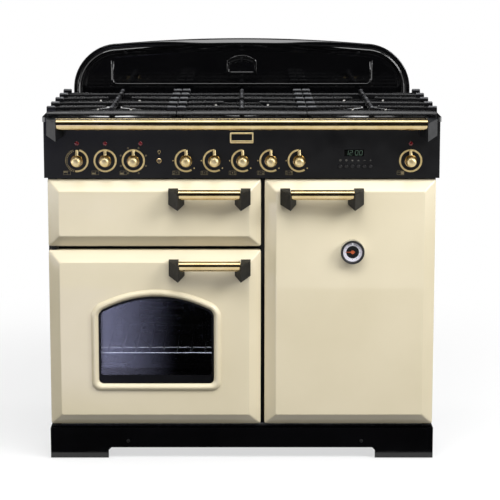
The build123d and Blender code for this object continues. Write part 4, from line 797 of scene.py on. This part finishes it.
caps, portShadeBlocks, electrodes, pins, pressings = [], [], [], [], []
for middle, burners in burnerPlan:
    for row, radius in burners.items():
        y, edge, port = grate["rows"][row], radius - f["step"] + f["overhang"], radius - f["step"]
        profile = [(0.1, 0), (edge - 1.2, 0), (edge - 0.35, 0.5), (edge, 1.5), (edge - 0.4, 2.5), (edge - 1.6, 3.3)]
        profile += [(edge * part, level) for part, level in f["capDome"]] + [(0.05, 5.0)]
        caps.append(onFloor([(part, f["head"] + level) for part, level in profile], middle, y, 64))
        # each port slot is drawn as a dark block standing just proud of the head: painted shade of the slot's opening
        for angle in np.linspace(0, 2 * math.pi, int(radius * f["portsPerRadius"]), endpoint=False):
            out = np.array([math.cos(angle), math.sin(angle)])
            aside = np.array([-math.sin(angle), math.cos(angle)]) * f["portWidth"] / 2
            ring = np.array([(port - f["portDepth"]) * out - aside, (port - f["portDepth"]) * out + aside,
                             (port + f["portProud"]) * out + aside, (port + f["portProud"]) * out - aside])
            ring = np.array([middle, y]) + ring
            portShadeBlocks.append(loft(np.array([np.column_stack([ring, np.full(4, floorLevel + level)])
                                        for level in (f["portLow"], f["portHigh"])])))
        for way in (-1, 1):
            x = middle + way * (radius + f["electrode"])
            electrodes.append(onFloor(f["post"], x, y, 18))
            pins.append(onFloor(f["pin"], x, y, 10))
        inside, share = f["pressing"][radius] - f["slope"], np.linspace(0, 1, 9)
        profile = [(f["pressing"][radius] - f["slope"] * part, f["rise"] * part) for part in share]
        profile += [(inside - f["flat"] - f["innerSlope"] * part, f["rise"] * (1 - part)) for part in share]
        pressings.append(onFloor(profile, middle, y, 96, "open"))
makePiece("burnerCapDomes", caps, "black_enamel", "cabinet", stands=["burner_caps"], sharp=50.0)
# the port blocks take the dark glazed cast-iron finish as painted shade of the slots
makePiece("burnerPortShade", portShadeBlocks, "cast_iron", "cabinet")
makePiece("electrodePosts", electrodes, "ceramic", "cabinet", sharp=40.0)
makePiece("electrodePins", pins, "chrome", "cabinet", sharp=40.0)
makePiece("hotplatePressings", pressings, "black_enamel", "cabinet", sharp=50.0)
print("burners dressed:", len(caps))

# two domed screws hold the plinth
screwSize = {"places": (-290.0, 305.0), "level": 46.0, "radius": 4.2, "proud": 1.8}
y, r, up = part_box("plinth")[0][1] / mm, screwSize["radius"], screwSize["proud"]
profile = [(r, y + 1.0), (r, y - 0.3), (r * 0.85, y - up * 0.65), (r * 0.5, y - up * 0.95), (0.05, y - up)]
screws = [loft(turnedRows(profile, x, screwSize["level"], 24)) for x in screwSize["places"]]
makePiece("plinthScrews", screws, "black_paint", "cabinet", sharp=45.0)

# thermometer: chromed cup, black rim, pale dial ring with a notch, black middle with ticks; profiles of (radius, y)
gauge = {"x": 276.75, "z": 541.0, "skin": -275.0, "front": -297.0, "dial": -289.0, "axle": 2.6, "cup": 30.0, "rim": 29.8,
         "dialInner": 16.0, "dialOuter": 24.2, "dialArc": (4, 356), "dialThick": 0.3, "tickFrom": 17.5, "tickTo": 19.5,
         "tickWidth": 0.8, "tickThick": 0.12, "ticks": (30, 331, 30), "around": 64}
g = gauge
gx, gz, skin, front, dial, cup = (g[key] for key in ("x", "z", "skin", "front", "dial", "cup"))
profile = [(g["axle"], skin), (cup - 0.5, skin), (cup, skin - 0.6), (cup, front + 4.0), (cup - 0.6, front + 3.2),
           (cup - 2.0, front + 3.0), (cup - 2.8, front + 3.4), (cup - 3.0, dial - 0.1), (g["axle"], dial - 0.05)]
makePiece("gaugeCup", [loft(turnedRows(profile, gx, gz, g["around"]), "joined")], "chrome", "tall_door",
          stands=["gauge_case"], sharp=40.0)
profile = [(29.3, front + 3.0), (g["rim"], front + 2.0), (29.3, front + 0.7), (27.6, front), (26.0, front + 0.3),
           (24.6, front + 1.4), (24.0, front + 3.0), (24.0, dial - 0.4), (27.0, dial - 0.4), (27.2, front + 3.0)]
makePiece("gaugeRim", [loft(turnedRows(profile, gx, gz, g["around"]), "joined")], "black_plastic", "tall_door",
          sharp=40.0)
# printed dial card: off-white with a cool cast
makeFinish("dial_card", {"name": "printedDialCard", "sockets": {"Roughness": 0.45}, "tones": ("D9D6E2", "E6E3EC", 6.0)})
card = arcBand(gx, gz, g["dialInner"], g["dialOuter"], *g["dialArc"], (dial, g["dialThick"]), g["around"])
makePiece("gaugeDial", [card], "dial_card", "tall_door")
profile = [(g["axle"], dial), (g["dialInner"] + 0.2, dial), (g["dialInner"], dial - 0.25), (g["axle"], dial - 0.25)]
marks = [loft(turnedRows(profile, gx, gz), "joined")]
for angle in np.radians(np.arange(*g["ticks"])):
    start, end = ((gx + reach * math.sin(angle), gz + reach * math.cos(angle)) for reach in (g["tickFrom"], g["tickTo"]))
    marks.append(strokeShape(start, end, g["tickWidth"], (dial - g["dialThick"], g["tickThick"])))
makePiece("gaugeMiddle", marks, "frit", "tall_door")
print("thermometer set")

# signal lenses: small domes in the panel
lensSize = {"front": -261.0, "radius": 5.5, "proud": 3.0, "back": 14.0, "level": 810.5,
            "places": (-411.0, -340.7, -252.4, 421.0)}
y, r = lensSize["front"], lensSize["radius"]
profile = [(r, y + lensSize["back"]), (r, y - 0.8), (r * 0.93, y - 1.7), (r * 0.75, y - 2.5), (r * 0.45, y - 2.9),
           (0.05, y - lensSize["proud"])]
domes = [loft(turnedRows(profile, x, lensSize["level"], 24)) for x in lensSize["places"]]
makePiece("signalLenses", domes, "lens", "cabinet", stands=["panel_lenses"], sharp=45.0)

# smoked acrylic over the clock: a dark gloss
makeFinish("clock_lens", {"name": "smokedAcrylic", "sockets": {"Roughness": 0.06, "IOR": 1.49},
                          "tones": ("0A0B0B", "0E0F0E", 10.0)})
# green display segments, lit dimly
makeFinish("digits", {"name": "greenDisplaySegments", "tones": ("3A4A40", "46584C", 2.0),
                      "sockets": {"Roughness": 0.4, "Emission Strength": 0.12, "Emission Color": hexColour("5C8068")}})
clock = {"x": 280.0, "z": 787.0, "half": 30.0, "rise": 11.4, "y": -259.0, "thick": 1.5, "wide": 6.6, "high": 5.5,
         "stroke": 1.1, "film": 0.12, "slant": 0.1, "time": ((1, -22.0), (2, -11.5), (0, 2.6), (0, 13.0)),
         "colon": (0.2, 2.0, 0.6)}
cx, cz, clockLayer = clock["x"], clock["z"], (clock["y"], clock["film"])
clockBox = (cx - clock["half"], cx + clock["half"], cz - clock["rise"], cz + clock["rise"])
rows = np.array([atDepth(boxLoop(clockBox, 0, 1.0), clock["y"] + depth) for depth in (clock["thick"], 0)])
makePiece("clockLens", [loft(rows)], "clock_lens", "cabinet")


# a seven-segment figure: strokes between the corners of two squares, one over the other, slanted to the right
def figure(number, x, z):
    w, h = clock["wide"], clock["high"]
    strokes = {"a": ((0, 2 * h), (w, 2 * h)), "b": ((w, 2 * h), (w, h)), "c": ((w, h), (w, 0)), "d": ((0, 0), (w, 0)),
               "e": ((0, 0), (0, h)), "f": ((0, h), (0, 2 * h)), "g": ((0, h), (w, h))}
    lit = {0: "abcdef", 1: "bc", 2: "abged"}[number]
    ends = [[(x + dx + clock["slant"] * dz, z + dz) for dx, dz in strokes[letter]] for letter in lit]
    return [strokeShape(start, end, clock["stroke"], clockLayer) for start, end in ends]


segments = []
for number, x in clock["time"]:
    segments += figure(number, cx + x, cz - clock["high"])
across, apart, radius = clock["colon"]
for dz in (-apart, apart):
    segments.append(dotShape(cx + across + dz * clock["slant"], cz + dz, radius, clockLayer, 8))
makePiece("clockFigures", segments, "digits", "cabinet")

# small grey signs over the timer buttons, as strokes (x0, z0, x1, z1, width) and arcs (z, inner, outer, start, end, steps)
# about each button's middle
clockRing = (0, 1.6, 2.5, 0, 360, 17)
timerSigns = {"x": 245.9, "pitch": 15.0, "z": 768.5,
              "arcs": {0: [clockRing], 1: [clockRing], 3: [(-1.2, 1.0, 2.0, -90, 90, 13)]},
              "strokes": {0: [(0, 0, 0.1, 1.3, 0.6)], 1: [(0, 0, 1.4, 1.3, 0.6)],
                          2: [(-2.4, 1, 2.4, 1, 0.8), (-1.8, -1, 1.8, -1, 2.2)], 3: [(-2.4, -1.6, 2.4, -1.6, 0.8)],
                          4: [(-2.2, 0, 2.2, 0, 0.9)], 5: [(-2.2, 0, 2.2, 0, 0.9), (0, -2.2, 0, 2.2, 0.9)]}}
signs, z = [], timerSigns["z"]
for number, strokes in timerSigns["strokes"].items():
    x = timerSigns["x"] + timerSigns["pitch"] * number
    for lift, inner, outer, start, end, steps in timerSigns["arcs"].get(number, []):
        signs.append(arcBand(x, z + lift, inner, outer, start, end, panelLayer, steps))
    for x0, z0, x1, z1, width in strokes:
        signs.append(strokeShape((x + x0, z + z0), (x + x1, z + z1), width, panelLayer))
makePiece("timerSigns", signs, "grey_print", "cabinet", sharp=30.0)

# a bulb over the light button: an open ring over two short strokes
lightSign = {"x": -206.0, "z": 790.0, "ring": (2.6, 3.6, -140, 140), "strokes": ((1.6, -4.0), (1.2, -5.6)), "width": 0.9}
x, z = lightSign["x"], lightSign["z"]
bulb = [arcBand(x, z, *lightSign["ring"], panelLayer, 33)]
bulb += [strokeShape((x - half, z + lift), (x + half, z + lift), lightSign["width"], panelLayer)
         for half, lift in lightSign["strokes"]]
makePiece("lightSign", bulb, "gold_print", "cabinet", sharp=30.0)

# bare badge on the panel: a brass border, deeper at its foot and crowned across, round a plain black field
badge = {"box": (-29.6, 29.6, 811.0, 838.6), "corner": 3.2, "innerCorner": 1.6, "side": 4.2, "foot": 7.6, "head": 4.8,
         "edge": 0.5, "crown": 2.0, "field": 1.3, "play": 0.05}
x0, x1, z0, z1 = badge["box"]
y = panelLayer[0]
inside = (x0 + badge["side"], x1 - badge["side"], z0 + badge["foot"], z1 - badge["head"])
outer, inner = boxLoop(badge["box"], 0, badge["corner"]), boxLoop(inside, 0, badge["innerCorner"])
border = [atDepth(outer, y)]
for share in np.linspace(0, 1, 11):
    border.append(atDepth(outer + (inner - outer) * share,
                          y - badge["edge"] - badge["crown"] * math.sin(math.pi * share) ** 0.7))
border.append(atDepth(inner, y))
makePiece("badgeBorder", [loft(np.array(border), "joined")], "satin_brass", "cabinet", sharp=40.0)
field = [atDepth(boxLoop(inside, badge["play"], badge["innerCorner"]), depth) for depth in (y, y - badge["field"])]
makePiece("badgeField", [loft(np.array(field))], "black_paint", "cabinet")
print("panel signs and badge set")

# the camera stands where the photograph was taken: front on, above the hotplate
view = {"place": (0.0, -4.946, 1.3815), "pitch": 9.41, "lens": 136.4, "sensor": 36.0, "shift": (0.0164, -0.05)}
cameraData = bpy.data.cameras.new("frontCamera")
cameraData.lens = view["lens"]
cameraData.sensor_width = view["sensor"]
cameraData.shift_x, cameraData.shift_y = view["shift"]
camera = bpy.data.objects.new("frontCamera", cameraData)
camera.location = view["place"]
camera.rotation_euler = (math.radians(90 - view["pitch"]), 0, 0)
scene.collection.objects.link(camera)
scene.camera = camera

# studio: a white cyclorama seen by camera, metal and glass, and a weaker fill for matt surfaces
studio = {"fill": 0.8, "key": 76.0, "top": 58.0, "oven": 0.05, "white": (1, 1, 1, 1), "floor": 0.85, "floorGlow": 0.6,
          "floorBounce": 0.08, "fadeFrom": 0.9, "fadeTo": 2.0, "flag": "0C0C0C", "paper": 2.0, "paperTint": "D6D7FF",
          "paperApex": 4.4, "paperEdge": (-0.084, -0.034), "paperEnd": (-1.0, -0.85),
          "card": 1.1, "bright": 4.0, "spark": 6.0, "zenith": 4.5}


# 1 for a ray that the camera, metal or glass sees, 0 for any other
def seenRay(tree, path):
    seen = addNode(tree, "ShaderNodeMath", {"operation": "MAXIMUM"},
                   {0: path.outputs["Is Camera Ray"], 1: path.outputs["Is Glossy Ray"]})
    seen = addNode(tree, "ShaderNodeMath", {"operation": "MAXIMUM"},
                   {0: seen.outputs[0], 1: path.outputs["Is Transmission Ray"]})
    return seen.outputs[0]


world = bpy.data.worlds.new("whiteStudio")
scene.world = world
world.use_nodes = True
tree = world.node_tree
tree.nodes.clear()
seen = seenRay(tree, addNode(tree, "ShaderNodeLightPath"))
strength = addNode(tree, "ShaderNodeMapRange", inputs={"Value": seen, "To Min": studio["fill"], "To Max": 1.0})
sky = addNode(tree, "ShaderNodeBackground", inputs={"Color": studio["white"], "Strength": strength.outputs[0]})
addNode(tree, "ShaderNodeOutputWorld", inputs={"Surface": sky.outputs[0]})


# a soft box: an area lamp aimed at a point
def softBox(name, place, aim, size, power, spread=180):
    lamp = bpy.data.lights.new(name, "AREA")
    lamp.shape = "RECTANGLE"
    lamp.size, lamp.size_y = size
    lamp.energy = power
    lamp.spread = math.radians(spread)
    item = bpy.data.objects.new(name, lamp)
    item.location = place
    away = np.array(aim) - np.array(place)
    tilt, turn = math.atan2(np.hypot(away[0], away[1]), -away[2]), math.atan2(away[1], away[0]) - math.pi / 2
    item.rotation_euler = (tilt, 0, turn)
    scene.collection.objects.link(item)
    return item


# a key box high on the right, a small lamp over the front of the oven's shelf, and a box overhead that metal doesn't see
softBox("keyBox", (2.6, -2.0, 2.4), (0, -0.27, 0.45), (1.5, 1.5), studio["key"])
softBox("ovenLamp", (-0.216, -0.19, 0.37), (-0.216, -0.17, 0.2), (0.36, 0.03), studio["oven"], 110)
softBox("topBox", (0.0, -2.0, 3.0), (0, -0.27, 0.5), (2.6, 1.0), studio["top"]).visible_glossy = False


# a flat sheet of the studio between two opposite corners in metres, which share one coordinate
def studioSheet(name, material, low, high):
    first, second = [axis for axis in range(3) if low[axis] != high[axis]]
    corners = np.array([low] * 4, float)
    corners[1:3, first] = high[first]
    corners[2:4, second] = high[second]
    mesh = bpy.data.meshes.new(name)
    mesh.from_pydata(corners.tolist(), [], [[0, 1, 2, 3]])
    mesh.materials.append(material)
    item = bpy.data.objects.new(name, mesh)
    scene.collection.objects.link(item)
    return item


# the pale floor: white to camera, metal and glass, but with a share of its own shading near the object for the shadow; it
# throws little light up
floorPaint = emptyMaterial("paleStudioFloor")
tree = floorPaint.node_tree
path, place = addNode(tree, "ShaderNodeLightPath"), addNode(tree, "ShaderNodeTexCoord")
reach = addNode(tree, "ShaderNodeVectorMath", {"operation": "LENGTH"}, {0: place.outputs["Object"]})
fade = addNode(tree, "ShaderNodeMapRange", {"interpolation_type": "SMOOTHSTEP"},
               {"Value": reach.outputs["Value"], "From Min": studio["fadeFrom"], "From Max": studio["fadeTo"],
                "To Min": studio["floorGlow"], "To Max": 1.0})
share = addNode(tree, "ShaderNodeMath", {"operation": "MULTIPLY"}, {0: seenRay(tree, path), 1: fade.outputs[0]})
tone = addNode(tree, "ShaderNodeMapRange", inputs={"Value": path.outputs["Is Diffuse Ray"], "To Min": studio["floor"],
                                                   "To Max": studio["floorBounce"]})
matt = addNode(tree, "ShaderNodeBsdfDiffuse", inputs={"Color": tone.outputs[0]})
glow = addNode(tree, "ShaderNodeEmission", inputs={"Color": studio["white"], "Strength": 1.0})
both = addNode(tree, "ShaderNodeMixShader", inputs={0: share.outputs[0], 1: matt.outputs[0], 2: glow.outputs[0]})
addNode(tree, "ShaderNodeOutputMaterial", inputs={"Surface": both.outputs[0]})
studioSheet("paleFloor", floorPaint, (-9, -9, 0), (9, 9, 0))

# black cloth on the floor with white paper on its left: the paper's edge slants away from the object and ends short of it
floorCloth = emptyMaterial("blackFlagCloth")
tree = floorCloth.node_tree
place = addNode(tree, "ShaderNodeTexCoord")
axes = addNode(tree, "ShaderNodeSeparateXYZ", inputs={0: place.outputs["Object"]})
reach = addNode(tree, "ShaderNodeMath", {"operation": "SUBTRACT"}, {0: studio["paperApex"], 1: axes.outputs[1]})
slant = addNode(tree, "ShaderNodeMath", {"operation": "DIVIDE"}, {0: axes.outputs[0], 1: reach.outputs[0]})
edge, end = (addNode(tree, "ShaderNodeMapRange", {"interpolation_type": "SMOOTHSTEP"},
                     {"Value": value, "From Min": studio[key][0], "From Max": studio[key][1]})
             for value, key in ((slant.outputs[0], "paperEdge"), (axes.outputs[1], "paperEnd")))
dark = addNode(tree, "ShaderNodeMath", {"operation": "MAXIMUM"}, {0: edge.outputs[0], 1: end.outputs[0]})
cloth = addNode(tree, "ShaderNodeBsdfDiffuse", inputs={"Color": hexColour(studio["flag"])})
paper = addNode(tree, "ShaderNodeEmission",
                inputs={"Color": hexColour(studio["paperTint"]), "Strength": studio["paper"]})
both = addNode(tree, "ShaderNodeMixShader", inputs={0: dark.outputs[0], 1: paper.outputs[0], 2: cloth.outputs[0]})
addNode(tree, "ShaderNodeOutputMaterial", inputs={"Surface": both.outputs[0]})
wallCloth = newMaterial("blackWallCloth", {"Base Color": hexColour(studio["flag"]), "Roughness": 1.0})[0]


# a card that glows evenly white
def glowingCard(name, strength):
    material = emptyMaterial(name)
    glow = addNode(material.node_tree, "ShaderNodeEmission", inputs={"Color": studio["white"], "Strength": strength})
    addNode(material.node_tree, "ShaderNodeOutputMaterial", inputs={"Surface": glow.outputs[0]})
    return material


whiteCard, litCard = glowingCard("whiteCard", studio["card"]), glowingCard("litCard", studio["bright"])
sparkCard, topCard = glowingCard("sparkCard", studio["spark"]), glowingCard("topCard", studio["zenith"])
# black flags behind the camera, on the floor, overhead and behind, and white cards: only polished surfaces see them
sheets = {"wallFlag": (wallCloth, (-5, -5.8, 0), (5, -5.8, 7.4)),
          "floorFlag": (floorCloth, (-5, -5.8, 0.004), (5, -0.3, 0.004)),
          "roofFlag": (wallCloth, (-3, -0.5, 3.3), (3, 2.5, 3.3)),
          "backFlag": (wallCloth, (-4, 3.4, 0), (4, 3.4, 3.15)),
          "topCard": (topCard, (-1.6, -1.35, 3.2), (1.6, -0.5, 3.2)),
          "backCard": (sparkCard, (-1.45, 3.0, 3.15), (0.5, 3.0, 3.75)),
          "leftCard": (litCard, (-2.6, -1.9, 0.3), (-2.6, 1.0, 1.0)),
          "rightCard": (litCard, (2.6, -0.4, 0.3), (2.6, 1.0, 1.0)),
          "lowCard": (whiteCard, (-1.0, -1.45, 0.432), (1.0, -0.345, 0.432))}
for name, (material, low, high) in sheets.items():
    sheet = studioSheet(name, material, low, high)
    sheet.visible_camera = sheet.visible_diffuse = sheet.visible_shadow = False
    sheet.visible_transmission = name in ("wallFlag", "floorFlag")     # light that has been inside the window glass
print("studio set")
